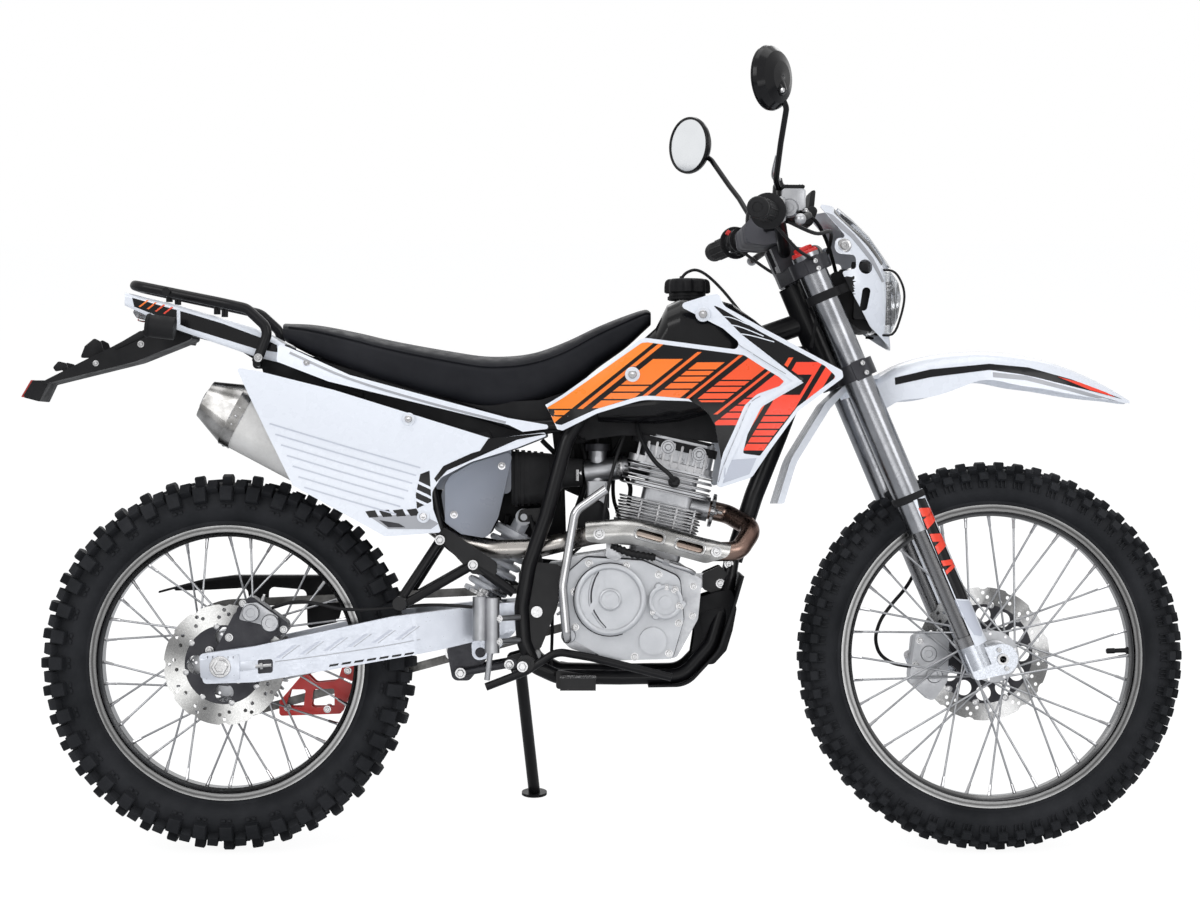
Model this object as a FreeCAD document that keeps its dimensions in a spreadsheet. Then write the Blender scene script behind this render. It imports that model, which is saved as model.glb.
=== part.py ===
"""Enduro motorcycle, parked leaning left on its side stand.

Every sub-part is modelled in the upright bike's own frame: X forward from the rear axle,
Y to the left, Z up from the ground under the upright wheels. A placement then turns it to
the way the bike stands. Lengths are millimetres and angles are degrees.
"""
import FreeCAD, Part
import Sketcher
import math
import os

Vector = FreeCAD.Vector
Placement = FreeCAD.Placement
Rotation = FreeCAD.Rotation

# alias, value, what it is
SIZES = [
    ("wheelbase", 1365.0, "rear axle to front axle"),
    ("lean_angle", 11.0, "lean to the left on the side stand"),
    ("steer_rest", 3.0, "how far the steering is turned left at rest"),
    ("rake_angle", 23.0, "steering axis from the vertical"),
    ("axle_lead", 39.0, "front axle ahead of the fork legs"),
    ("clamp_offset", 28.0, "fork legs ahead of the steering axis"),
    ("fork_half_width", 105.0, "fork leg from the centre plane"),
    ("fork_outer_radius", 26.0, "fork outer tube"),
    ("fork_inner_radius", 20.0, "fork inner tube"),
    ("lower_clamp_height", 565.0, "along the steering axis, above the axle"),
    ("upper_clamp_height", 766.0, "along the steering axis, above the axle"),
    ("clamp_thickness", 30.0, "triple clamp"),
    ("outer_tube_bottom", 263.0, "along the leg, above the axle"),
    ("stem_radius", 14.0, "steering stem"),
    ("head_tube_radius", 26.0, "outside of the head tube"),
    ("front_tyre_outer", 696.0, "front tyre diameter over its knobs"),
    ("front_tyre_crown", 46.0, "front tyre section radius"),
    ("front_rim_outer", 542.0, "front rim diameter over its flanges"),
    ("front_rim_half", 27.0, "half the front rim's width"),
    ("rear_tyre_outer", 674.0, "rear tyre diameter over its knobs"),
    ("rear_tyre_crown", 55.0, "rear tyre section radius"),
    ("rear_rim_outer", 491.0, "rear rim diameter over its flanges"),
    ("rear_rim_half", 33.0, "half the rear rim's width"),
    ("tyre_wall", 11.0, "thickness of a tyre"),
    ("axle_radius", 10.0, "both axles"),
    ("running_fit", 0.05, "radial clearance of a hub on its axle"),
    ("spoke_count", 36, "spokes in each wheel"),
    ("spoke_radius", 1.9, "spoke"),
    ("front_disc_radius", 121.0, "front brake disc"),
    ("front_disc_place", 62.0, "front disc, left of the centre plane"),
    ("rear_disc_radius", 107.0, "rear brake disc"),
    ("rear_disc_place", 68.0, "rear disc, right of the centre plane"),
    ("disc_thickness", 4.0, "both brake discs"),
    ("chain_pitch", 15.875, "520 chain"),
    ("chain_line", 68.0, "chain, left of the centre plane"),
    ("rear_teeth", 40, "rear sprocket"),
    ("drive_teeth", 13, "engine sprocket"),
    ("swingarm_half", 108.0, "swingarm leg from the centre plane"),
    ("tube_radius", 13.0, "frame tubes"),
    ("rail_radius", 10.0, "subframe tubes"),
    ("panel_thickness", 3.0, "plastic body panels"),
    ("bar_radius", 11.0, "handlebar tube"),
    ("grip_radius", 16.5, "handlebar grip"),
    ("stand_radius", 11.0, "side stand leg"),
    ("seat_gap", 0.3, "clearance of pieces that rest on each other"),
    ("pipe_radius", 17.0, "exhaust pipe"),
    ("axle_bore", 6.0, "hole through the front axle"),
    ("steering_lock", 42.0, "steering to each side"),
    ("origin_back", 676.0, "origin ahead of the rear axle"),
    ("origin_side", 225.0, "origin left of the tyres"),
]

doc = FreeCAD.newDocument("enduro_motorcycle")
sheet = doc.addObject("Spreadsheet::Sheet", "sizes")
for row, (alias, value, meaning) in enumerate(SIZES, start=1):
    sheet.set("A%d" % row, alias)
    sheet.set("B%d" % row, str(value))
    sheet.set("C%d" % row, meaning)
    sheet.setAlias("B%d" % row, alias)
doc.recompute()


class Dimensions:
    """The sheet's cells as plain numbers."""

    def __getattr__(self, alias):
        return float(sheet.get(alias))


mm = Dimensions()

# ---------------------------------------------------------------- frames of reference
LEAN = math.radians(mm.lean_angle)
FRONT_RING = mm.front_tyre_outer / 2 - mm.front_tyre_crown
REAR_RING = mm.rear_tyre_outer / 2 - mm.rear_tyre_crown
FRONT_AXLE_HEIGHT = FRONT_RING + mm.front_tyre_crown / math.cos(LEAN)
REAR_AXLE_HEIGHT = REAR_RING + mm.rear_tyre_crown / math.cos(LEAN)
FRONT_AXLE = Vector(mm.wheelbase, 0, FRONT_AXLE_HEIGHT)
DRAWN_WHEELBASE = 1365.0  # what the coordinates of the front end are written for
REACH = mm.wheelbase - DRAWN_WHEELBASE
REAR_AXLE = Vector(0, 0, REAR_AXLE_HEIGHT)

ORIGIN_SHIFT = Vector(-mm.origin_back, -mm.origin_side, 0)
lean_place = Placement(ORIGIN_SHIFT, Rotation(Vector(1, 0, 0), -mm.lean_angle))
fork_turn = Rotation(Vector(0, 1, 0), -mm.rake_angle)
fork_forward = fork_turn.multVec(Vector(1, 0, 0))
fork_up = fork_turn.multVec(Vector(0, 0, 1))
FORK_FOOT = FRONT_AXLE - fork_forward * (mm.axle_lead + mm.clamp_offset)
fork_place = Placement(FORK_FOOT, fork_turn)
drawn_fork = Placement(FORK_FOOT - Vector(REACH, 0, 0), fork_turn)
steer_turn = Placement(Vector(), Rotation(Vector(0, 0, 1), mm.steer_rest))

ROOT = lean_place
FORK = lean_place * fork_place * steer_turn
STEER = FORK * drawn_fork.inverse()
FRONT_WHEEL = FORK * fork_place.inverse() * Placement(FRONT_AXLE, Rotation())
REAR_WHEEL = lean_place * Placement(REAR_AXLE, Rotation())

nodes = []


def node(label, source, frame):
    """Name a finished sub-part and put it where the leaning bike has it."""
    source.Label = label
    source.Placement = frame * source.Placement
    nodes.append(source)
    return source


# ---------------------------------------------------------------- document objects
def plane(body, role):
    return [item for item in body.Origin.OriginFeatures if item.Role == role][0]


def corner_path(rows):
    """Lines and arcs through rows of x, y and corner radius, closed."""
    edges = []
    count = len(rows)
    joints = []
    for index in range(count):
        here = Vector(rows[index][0], rows[index][1], 0)
        radius = rows[index][2] if len(rows[index]) > 2 else 0
        before = Vector(rows[index - 1][0], rows[index - 1][1], 0)
        after = Vector(rows[(index + 1) % count][0], rows[(index + 1) % count][1], 0)
        joints.append(round_corner(before, here, after, radius))
    for index in range(count):
        entry, middle, leave = joints[index]
        if middle is not None:
            edges.append(Part.Arc(entry, middle, leave))
        following = joints[(index + 1) % count][0]
        if (following - leave).Length > 1e-6:
            edges.append(Part.LineSegment(leave, following))
    return edges


def round_corner(before, here, after, radius):
    """Where an arc enters, passes and leaves a corner; its runs limit its radius."""
    if not radius:
        return here, None, here
    shorter_run = min((before - here).Length, (after - here).Length)
    back = (before - here).normalize()
    ahead = (after - here).normalize()
    opening = back.getAngle(ahead)
    if opening > math.pi - 1e-4:
        return here, None, here
    reach = min(radius / math.tan(opening / 2), 0.48 * shorter_run)
    radius = reach * math.tan(opening / 2)
    bisector = (back + ahead).normalize()
    middle = here + bisector * (radius / math.sin(opening / 2) - radius)
    return here + back * reach, middle, here + ahead * reach


def new_sketch(body, name, role, offset=0.0):
    sketch = body.newObject("Sketcher::SketchObject", name)
    sketch.AttachmentSupport = [(plane(body, role), "")]
    sketch.MapMode = "FlatFace"
    sketch.AttachmentOffset = Placement(Vector(0, 0, offset), Rotation())
    return sketch


def add_outline(sketch, rows):
    for edge in corner_path(rows):
        if isinstance(edge, Part.Arc):
            edge = Part.ArcOfCircle(edge.toShape().Curve, edge.toShape().FirstParameter,
                                    edge.toShape().LastParameter)
        sketch.addGeometry(edge, False)


def add_circle(sketch, x, y, radius):
    """A circle whose radius is an expression over the sheet."""
    place = sketch.addGeometry(Part.Circle(Vector(x, y, 0), Vector(0, 0, 1), 1.0), False)
    constraint = sketch.addConstraint(Sketcher.Constraint("Radius", place, 1.0))
    sketch.setExpression("Constraints[%d]" % constraint, radius)
    return place


def pad(body, name, sketch, length, midplane=True):
    feature = body.newObject("PartDesign::Pad", name)
    feature.Profile = sketch
    feature.setExpression("Length", length)
    feature.Midplane = midplane
    sketch.Visibility = False
    return feature


def revolve(body, name, sketch, axis="V_Axis"):
    feature = body.newObject("PartDesign::Revolution", name)
    feature.Profile = sketch
    feature.ReferenceAxis = (sketch, [axis])
    feature.Angle = 360
    return feature


def polar(body, name, feature, sketch, count):
    pattern = body.newObject("PartDesign::PolarPattern", name)
    pattern.Originals = [feature]
    pattern.Axis = (sketch, ["N_Axis"])
    pattern.Angle = 360
    pattern.setExpression("Occurrences", count)
    body.Tip = pattern
    return pattern


def cylinder(name, radius, length, base, axis=(0, 1, 0)):
    """A Part cylinder sized by expressions; base is the centre of its first end."""
    solid = doc.addObject("Part::Cylinder", name)
    solid.setExpression("Radius", radius)
    solid.setExpression("Height", length)
    solid.Placement = Placement(Vector(*base), Rotation(Vector(0, 0, 1), Vector(*axis)))
    return solid


def fuse(name, parts):
    union = doc.addObject("Part::MultiFuse", name)
    union.Shapes = parts
    return union


def cut(name, base, tool):
    difference = doc.addObject("Part::Cut", name)
    difference.Base = base
    difference.Tool = tool
    return difference


def group(name, parts):
    compound = doc.addObject("Part::Compound", name)
    compound.Links = parts
    return compound


def feature(name, shape):
    """A shape that neither a body nor the primitives fit, such as a bent tube or a shell."""
    item = doc.addObject("Part::Feature", name)
    item.Shape = shape
    return item


def both_sides(shape):
    """The shape and its mirror image across the centre plane."""
    return Part.Compound([shape, shape.mirror(Vector(), Vector(0, 1, 0))])


# ---------------------------------------------------------------- shapes in code
def bent_path(rows):
    """Straight runs joined by tangent arcs through rows of x, y, z and bend radius."""
    points = [Vector(*row[:3]) for row in rows]
    edges = []
    start = points[0]
    for index in range(1, len(points) - 1):
        radius = rows[index][3] if len(rows[index]) > 3 else 0
        entry, middle, leave = round_corner(points[index - 1], points[index],
                                            points[index + 1], radius)
        if (entry - start).Length > 1e-6:
            edges.append(Part.LineSegment(start, entry).toShape())
        if middle is not None:
            edges.append(Part.Arc(entry, middle, leave).toShape())
        start = leave
    edges.append(Part.LineSegment(start, points[-1]).toShape())
    return Part.Wire(edges)


def bar(rows, radius):
    """A round bar or tube, solid, along a bent path."""
    path = bent_path(rows)
    heading = (Vector(*rows[1][:3]) - Vector(*rows[0][:3])).normalize()
    ring = Part.Wire(Part.makeCircle(radius, Vector(*rows[0][:3]), heading))
    return path.makePipeShell([ring], True, False)


def rod(start, end, radius):
    start = Vector(*start)
    axis = Vector(*end) - start
    return Part.makeCylinder(radius, axis.Length, start, axis)


def plate(rows, y_from, y_to):
    """A flat plate parallel to the centre plane from rows of x, z and corner radius."""
    wire = Part.Wire([edge.toShape() for edge in corner_path(rows)])
    face = Part.Face(wire)
    face.rotate(Vector(), Vector(1, 0, 0), 90)
    face.translate(Vector(0, y_from, 0))
    return face.extrude(Vector(0, y_to - y_from, 0))


def slab(rows, z_from, z_to):
    """A flat plate parallel to the ground from rows of x, y and corner radius."""
    wire = Part.Wire([edge.toShape() for edge in corner_path(rows)])
    face = Part.Face(wire)
    face.translate(Vector(0, 0, z_from))
    return face.extrude(Vector(0, 0, z_to - z_from))


def strip_rows(rows, near, far):
    """The outline of a strip that follows an open path of x, y and radius, to its left."""
    def shifted(distance):
        moved = []
        for index, row in enumerate(rows):
            here = Vector(row[0], row[1], 0)
            normals = []
            for first, second in ((index - 1, index), (index, index + 1)):
                if first >= 0 and second < len(rows):
                    run = Vector(rows[second][0] - rows[first][0],
                                 rows[second][1] - rows[first][1], 0).normalize()
                    normals.append(Vector(-run.y, run.x, 0))
            mitre = (normals[0] + normals[-1]).normalize()
            place = here + mitre * (distance / mitre.dot(normals[0]))
            moved.append((place.x, place.y) + tuple(row[2:]))
        return moved
    return shifted(near) + list(reversed(shifted(far)))


def mirrored_rows(rows):
    """Half an outline with y >= 0, closed by its mirror image."""
    return list(rows) + [(row[0], -row[1]) + tuple(row[2:]) for row in reversed(rows)]


def cross_section(x, half, low, high, radius, tilt=0.0):
    """A rounded rectangle across the bike at x, tilted about its middle."""
    rows = [(half, low, radius), (half, high, radius), (-half, high, radius),
            (-half, low, radius)]
    wire = Part.Wire([edge.toShape() for edge in corner_path(rows)])
    wire.rotate(Vector(), Vector(1, 1, 1), 120)
    wire.rotate(Vector(0, 0, (low + high) / 2), Vector(0, 1, 0), tilt)
    wire.translate(Vector(x, 0, 0))
    return wire


def ruled_loft(sections):
    return Part.makeLoft(sections, True, True)


def sheet_between(outer, inner):
    """A closed section between two open curves given by their points."""
    curves = []
    for points in (outer, inner):
        curve = Part.BSplineCurve()
        curve.interpolate([Vector(*point) for point in points])
        curves.append(curve.toShape())
    first = Part.makeLine(Vector(*outer[0]), Vector(*inner[0]))
    last = Part.makeLine(Vector(*inner[-1]), Vector(*outer[-1]))
    return Part.Wire([curves[0], last, curves[1], first])


def smooth_loft(sections):
    return Part.makeLoft(sections, True, False)


def standing_sheet(stations):
    """A curved panel on the left: rows of x, its lower and upper z, and y below, amid, above."""
    wall = mm.panel_thickness
    sections = []
    for x, low, high, y_low, y_middle, y_high in stations:
        tall = high - low
        outer = [(x, y_low, low), (x, y_middle, low + 0.4 * tall),
                 (x, 0.8 * y_middle + 0.2 * y_high, low + 0.75 * tall), (x, y_high, high)]
        inner = [(px, py - wall, pz) for px, py, pz in outer]
        sections.append(sheet_between(outer, inner))
    return smooth_loft(sections)


def arched_section(x, half, top, drop):
    """Across a fender: nearly flat on top, falling to the edges by drop."""
    wall = mm.panel_thickness
    shares = [(1.0, 1.0), (0.93, 0.62), (0.78, 0.26), (0.45, 0.06)]
    left = [(x, half * y, top - drop * z) for y, z in shares]
    outer = left + [(x, 0, top)] + [(x, -y, z) for _, y, z in reversed(left)]
    left = [(x, half * y - wall, top - drop * z - wall * (1 - z)) for y, z in shares]
    inner = left + [(x, 0, top - wall)] + [(x, -y, z) for _, y, z in reversed(left)]
    return sheet_between(outer, inner)


def cord(points, radius):
    """A hose through points: straight runs joined by arcs as wide as the runs allow."""
    rows = [tuple(points[0])]
    tightest = 1000.0
    for before, here, after in zip(points, points[1:], points[2:]):
        back = Vector(*before) - Vector(*here)
        ahead = Vector(*after) - Vector(*here)
        half_turn = (math.pi - back.getAngle(ahead)) / 2
        bend = 0.45 * min(back.Length, ahead.Length) / math.tan(half_turn)
        tightest = min(tightest, bend)
        rows.append(tuple(here) + (bend,))
    rows.append(tuple(points[-1]))
    shape = bar(rows, radius)
    length = bent_path(rows).Length
    print("cord length", round(length), "tightest bend", round(tightest, 1), "volume ratio",
          round(shape.Volume / (math.pi * radius ** 2 * length), 4))
    return shape


def fused(shapes):
    return shapes[0].fuse(shapes[1:]) if len(shapes) > 1 else shapes[0]


# ---------------------------------------------------------------- wheels
def tyre(label, ring, crown, bead, bead_half, frame):
    """A hollow tyre of round section; ring is the radius of the section's centre."""
    turn = math.radians(112)
    inner = crown - mm.tyre_wall
    outer_foot = (ring + crown * math.cos(turn), crown * math.sin(turn))
    inner_foot = (ring + inner * math.cos(turn), inner * math.sin(turn))
    body = doc.addObject("PartDesign::Body", label + "_body")
    sketch = new_sketch(body, label + "_section", "XY_Plane")
    for reach, foot in ((crown, outer_foot), (inner, inner_foot)):
        arc = Part.Arc(Vector(foot[0], foot[1], 0), Vector(ring + reach, 0, 0),
                       Vector(foot[0], -foot[1], 0))
        curve = arc.toShape()
        sketch.addGeometry(Part.ArcOfCircle(curve.Curve, curve.FirstParameter,
                                            curve.LastParameter), False)
    for side in (1, -1):
        path = [outer_foot, (bead + 12, bead_half), (bead, bead_half),
                (bead, bead_half - 8), (bead + 12, bead_half - 8), inner_foot]
        for start, end in zip(path, path[1:]):
            sketch.addGeometry(Part.LineSegment(Vector(start[0], side * start[1], 0),
                                                Vector(end[0], side * end[1], 0)), False)
    revolve(body, label + "_turn", sketch)
    return node(label, body, frame)


def rim(label, outer, half, frame):
    """A steel rim: flanges, bead seats and a drop centre."""
    side = [(outer, half), (outer, half - 2.5), (outer - 9, half - 3), (outer - 9, half - 12),
            (outer - 17, half - 17), (outer - 20.5, half - 16), (outer - 13, half - 10),
            (outer - 12, half)]
    top = side[:5]
    under = side[5:]
    rows = top + [(r, -y) for r, y in reversed(top)] + [(r, -y) for r, y in reversed(under)]
    rows = rows + under
    body = doc.addObject("PartDesign::Body", label + "_body")
    sketch = new_sketch(body, label + "_section", "XY_Plane")
    add_outline(sketch, rows)
    revolve(body, label + "_turn", sketch)
    return node(label, body, frame)


def spokes(flange_radius, flange_half, rim_radius):
    """Three-cross lacing: nine leading and nine trailing spokes on each flange."""
    count = int(mm.spoke_count)
    bars = []
    for index in range(count):
        side = 1 if index % 2 else -1
        lead = 1 if (index // 2) % 2 else -1
        rim_angle = math.radians(360.0 / count * index)
        hub_angle = rim_angle + lead * math.radians(62)
        inset = 2.4 * lead
        start = (flange_radius * math.cos(hub_angle), side * flange_half + inset,
                 flange_radius * math.sin(hub_angle))
        end = (rim_radius * math.cos(rim_angle), side * 5.0, rim_radius * math.sin(rim_angle))
        bars.append(rod(start, end, mm.spoke_radius))
    return bars


def hub(label, rows, bore, spoke_bars, frame):
    body = doc.addObject("PartDesign::Body", label + "_body")
    sketch = new_sketch(body, label + "_section", "XY_Plane")
    add_outline(sketch, [(bore, rows[0][1])] + rows + [(bore, rows[-1][1])])
    revolve(body, label + "_turn", sketch)
    lacing = feature(label + "_spokes", Part.Compound(spoke_bars))
    return node(label, fuse(label + "_laced", [body, lacing]), frame)


def disc(label, place, carrier, windows, waves, frame):
    """A waved and drilled ring on a thinner open carrier; windows: ring radius, radius, count."""
    size = "sizes.%s_radius" % label
    outer = float(sheet.get(label + "_radius"))
    body = doc.addObject("PartDesign::Body", label + "_body")
    ring = new_sketch(body, label + "_ring", "XZ_Plane", -place)
    add_circle(ring, 0, 0, size)
    add_circle(ring, 0, 0, str(carrier))
    pad(body, label + "_ring_pad", ring, "sizes.disc_thickness")
    middle = new_sketch(body, label + "_carrier", "XZ_Plane", -place)
    add_circle(middle, 0, 0, str(carrier + 1))
    add_circle(middle, 0, 0, "22")
    pad(body, label + "_carrier_pad", middle, "sizes.disc_thickness - 1")
    ring_at, radius, count = windows
    pocket_ring(body, label + "_window", place, [(0, ring_at, radius)], count)
    holes = [(0, outer - 10, 3.4), (8, outer - 18, 3.4), (-9, outer - 23, 3.4)]
    pocket_ring(body, label + "_drill", place, holes + [(0, outer + 9.5, 13)], waves)
    return node(label, body, frame)


def pocket_ring(body, name, place, circles, count):
    """Round openings, repeated about the disc's centre."""
    sketch = new_sketch(body, name + "_sketch", "XZ_Plane", -place)
    for x, y, radius in circles:
        add_circle(sketch, x, y, str(radius))
    pocket = body.newObject("PartDesign::Pocket", name + "_pocket")
    pocket.Profile = sketch
    pocket.Type = 1
    pocket.Midplane = True
    polar(body, name + "_ring", pocket, sketch, str(count))


def sprocket_shape(teeth, thickness, place, bore):
    """A toothed wheel for the drive chain."""
    pitch_radius = mm.chain_pitch / (2 * math.sin(math.pi / teeth))
    root = pitch_radius - 5.2
    tip = pitch_radius + 4.5
    rows = []
    for index in range(int(teeth)):
        for share, reach in ((-0.27, root), (-0.10, tip), (0.10, tip), (0.27, root)):
            angle = 2 * math.pi * (index + 0.5 + share) / teeth
            rows.append((reach * math.cos(angle), reach * math.sin(angle)))
    shape = plate(rows, place - thickness / 2, place + thickness / 2)
    hole = Part.makeCylinder(bore, 60, Vector(0, place - 30, 0), Vector(0, 1, 0))
    return shape.cut(hole)


def make_wheels():
    front_rim = mm.front_rim_outer / 2
    rear_rim = mm.rear_rim_outer / 2
    bore = mm.axle_radius + mm.running_fit
    tyre("front_tyre", FRONT_RING, mm.front_tyre_crown, front_rim - 9,
         mm.front_rim_half - 3.5, FRONT_WHEEL)
    tyre("rear_tyre", REAR_RING, mm.rear_tyre_crown, rear_rim - 9,
         mm.rear_rim_half - 3.5, REAR_WHEEL)
    rim("front_rim", front_rim, mm.front_rim_half, FRONT_WHEEL)
    rim("rear_rim", rear_rim, mm.rear_rim_half, REAR_WHEEL)
    front_rows = [(18, -46), (18, -39), (46, -37), (46, -29), (24, -24), (22, 24), (46, 29),
                  (46, 37), (32, 40), (32, mm.front_disc_place - 2), (18, mm.front_disc_place - 2),
                  (18, 72)]
    hub("front_hub", front_rows, bore, spokes(41, 33, front_rim - 21), FRONT_WHEEL)
    rear_disc_seat = mm.rear_disc_place - mm.disc_thickness / 2
    rear_rows = [(20, -78), (20, -rear_disc_seat), (34, -rear_disc_seat), (40, -48), (58, -46),
                 (58, -38), (32, -32), (32, 32), (58, 38), (58, 46), (44, 50),
                 (44, mm.chain_line - 3.5), (22, mm.chain_line - 3.5), (22, 78)]
    hub("rear_hub", rear_rows, bore, spokes(53, 42, rear_rim - 21), REAR_WHEEL)
    disc("front_disc", mm.front_disc_place, 90, (71, 14, 12), 15, FRONT_WHEEL)
    disc("rear_disc", -mm.rear_disc_place, 70, (50, 16.5, 4), 12, REAR_WHEEL)
    cog = sprocket_shape(mm.rear_teeth, 7, mm.chain_line, 24)
    windows = [rod((62 * math.cos(a), 40, 62 * math.sin(a)),
                   (62 * math.cos(a), 90, 62 * math.sin(a)), 17)
               for a in [math.radians(60 * k) for k in range(6)]]
    node("rear_sprocket", feature("sprocket", cog.cut(windows)), REAR_WHEEL)


# ---------------------------------------------------------------- frame
STAND_TOP = (518.0, 132.0, 322.0)
STAND_FOOT = (540.0, 316.0, 66.0)
STAND_STOWED = (-0.985, 0.08, 0.12)
STAND_AXIS = (Vector(*STAND_FOOT) - Vector(*STAND_TOP)).cross(Vector(*STAND_STOWED)).normalize()
HEAD_LOW = mm.lower_clamp_height + mm.clamp_thickness / 2 + 4
HEAD_HIGH = mm.upper_clamp_height - 26 / 2 - 4


def on_steering_axis(height):
    return FORK_FOOT + fork_up * height


PIVOT = (554.0, 433.0)
ENGINE_BOLT = (584.0, 503.0)
LINK_BOLT = (510.0, 338.0)
ROCKER_BOLT = (452.0, 357.0)
SHOCK_LOW = (403.0, 356.0)
SHOCK_TOP = (529.0, 598.0)
PEDAL_BOLT = (536.0, 345.0)
SIDE_TUBE = [(640, 80, 792), (606, 86, 735, 60), (570, 92, 600, 80), (540, 94, 515, 80),
             (527, 94, 440, 60), (531, 94, 380, 40), (548, 92, 338, 30), (590, 84, 318, 40),
             (700, 76, 316), (812, 74, 318, 50), (862, 62, 372, 60), (890, 35, 455, 60),
             (903, 14, 530)]
SKID_PATH = [(903, 500), (890, 455, 60), (862, 372, 60), (812, 318, 50), (750, 317)]


def on_side(rows, side):
    """Rows of a left-hand path, moved to that side of the bike."""
    return [(row[0], side * row[1]) + tuple(row[2:]) for row in rows]


def make_main_frame():
    radius = mm.tube_radius
    fit = mm.seat_gap
    head = rod(tuple(on_steering_axis(HEAD_LOW)), tuple(on_steering_axis(HEAD_HIGH)),
               mm.head_tube_radius)
    bore = rod(tuple(on_steering_axis(HEAD_LOW - 20)), tuple(on_steering_axis(HEAD_HIGH + 20)),
               mm.stem_radius + fit)
    spine = bar([(1030 + REACH, 0, 946), (950 + REACH / 2, 0, 918, 200), (640, 0, 792)], 20)
    downtube = bar([(1044 + REACH, 0, 900), (985 + REACH * 0.7, 0, 745, 200),
                    (942 + REACH * 0.3, 0, 638, 200), (904, 0, 520)], 17)
    gusset = plate([(1052 + REACH, 905), (940 + REACH, 900), (985 + REACH, 770)], -5, 5)
    cross_high = rod((640, -84, 792), (640, 84, 792), radius)
    cross_shock = rod((568, -92, 604), (568, 92, 604), 11)
    cross_low = rod((545, -92, 343), (545, 92, 343), radius)
    engine_bolt = rod((ENGINE_BOLT[0], -88, ENGINE_BOLT[1]), (ENGINE_BOLT[0], 88, ENGINE_BOLT[1]), 6)
    parts = [head, spine, downtube, gusset, cross_high, cross_shock, cross_low, engine_bolt]
    pivot_rows = [(522, 505, 10), (556, 520, 10), (598, 516, 10), (590, 440, 14), (560, 366, 10),
                  (524, 366, 8)]
    hanger_rows = [(848, 498, 8), (880, 512, 6), (898, 490, 6), (885, 455, 6), (848, 470, 8)]
    shock_rows = [(516, 588, 10), (522, 612, 10), (566, 615), (566, 592)]
    link_rows = [(494, 328, 12), (498, 350, 10), (540, 362, 8), (560, 348, 8), (548, 326, 8)]
    for side in (1, -1):
        parts.append(bar(on_side(SIDE_TUBE, side), radius))
        parts.append(plate(pivot_rows, side * 88, side * 94))
        parts.append(rod((PIVOT[0], side * (78 + fit), PIVOT[1]), (PIVOT[0], side * 88, PIVOT[1]), 18))
        parts.append(plate(hanger_rows, side * 30, side * 36))
        parts.append(plate(shock_rows, side * (18 + fit), side * 23))
        parts.append(plate(link_rows, side * 46, side * 52))
    pedal_boss = rod((PEDAL_BOLT[0], -88, PEDAL_BOLT[1]), (PEDAL_BOLT[0], -143, PEDAL_BOLT[1]), 8)
    stand_inner = Vector(*STAND_TOP) - STAND_AXIS * 22
    stand_arm = rod((545, 87, 342), tuple(stand_inner - STAND_AXIS * 5), 9)
    stand_boss = rod(tuple(stand_inner - STAND_AXIS * 6), tuple(stand_inner + STAND_AXIS * 6.7), 10)
    stand_pin = rod(tuple(stand_inner), tuple(stand_inner + STAND_AXIS * 40), 6)
    parts += [pedal_boss, stand_arm, stand_boss, stand_pin]
    holes = [bore]
    holes.append(rod((PIVOT[0], -150, PIVOT[1]), (PIVOT[0], 150, PIVOT[1]), 10 + fit))
    holes.append(rod((LINK_BOLT[0], -60, LINK_BOLT[1]), (LINK_BOLT[0], 60, LINK_BOLT[1]), 9 + fit))
    holes.append(rod((SHOCK_TOP[0], -30, SHOCK_TOP[1]), (SHOCK_TOP[0], 30, SHOCK_TOP[1]), 6 + fit))
    node("main_frame", feature("frame_tubes", fused(parts).cut(holes)), ROOT)


def make_subframe():
    radius = mm.rail_radius
    rail = [(600.3, 84, 763), (520, 84, 760, 80), (300, 76, 831, 300), (120, 66, 884, 200),
            (-58.2, 50, 930)]
    stay = [(513.5, 93, 466), (440, 87.5, 520, 80), (385, 87.5, 562, 60), (368, 84, 650, 60),
            (335, 80, 745, 60), (130, 66, 862)]
    ear_rows = [(372, 572, 8), (392, 582, 8), (484, 520, 8), (484, 496, 8), (440, 500, 8)]
    tab_rows = [(312, 822), (352, 812), (340, 768, 8), (322, 768, 8)]
    foot_rows = [(48, 905), (78, 895), (74, 862, 8), (50, 862, 8)]
    parts = []
    for side in (1, -1):
        parts.append(bar(on_side(rail, side), radius))
        parts.append(bar(on_side(stay, side), 9))
        parts.append(plate(ear_rows, side * 92, side * 97))
        parts.append(plate(tab_rows, side * 76, side * 80))
        parts.append(plate(foot_rows, side * 58, side * 64))
    parts.append(rod((150, -66, 875), (150, 66, 875), 8))
    rack_rod = rod((RACK_FOOT[0], -80, RACK_FOOT[1]), (RACK_FOOT[0], 80, RACK_FOOT[1]),
                   7 + mm.seat_gap)
    node("subframe", feature("subframe_tubes", fused(parts).cut(rack_rod)), ROOT)


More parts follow.
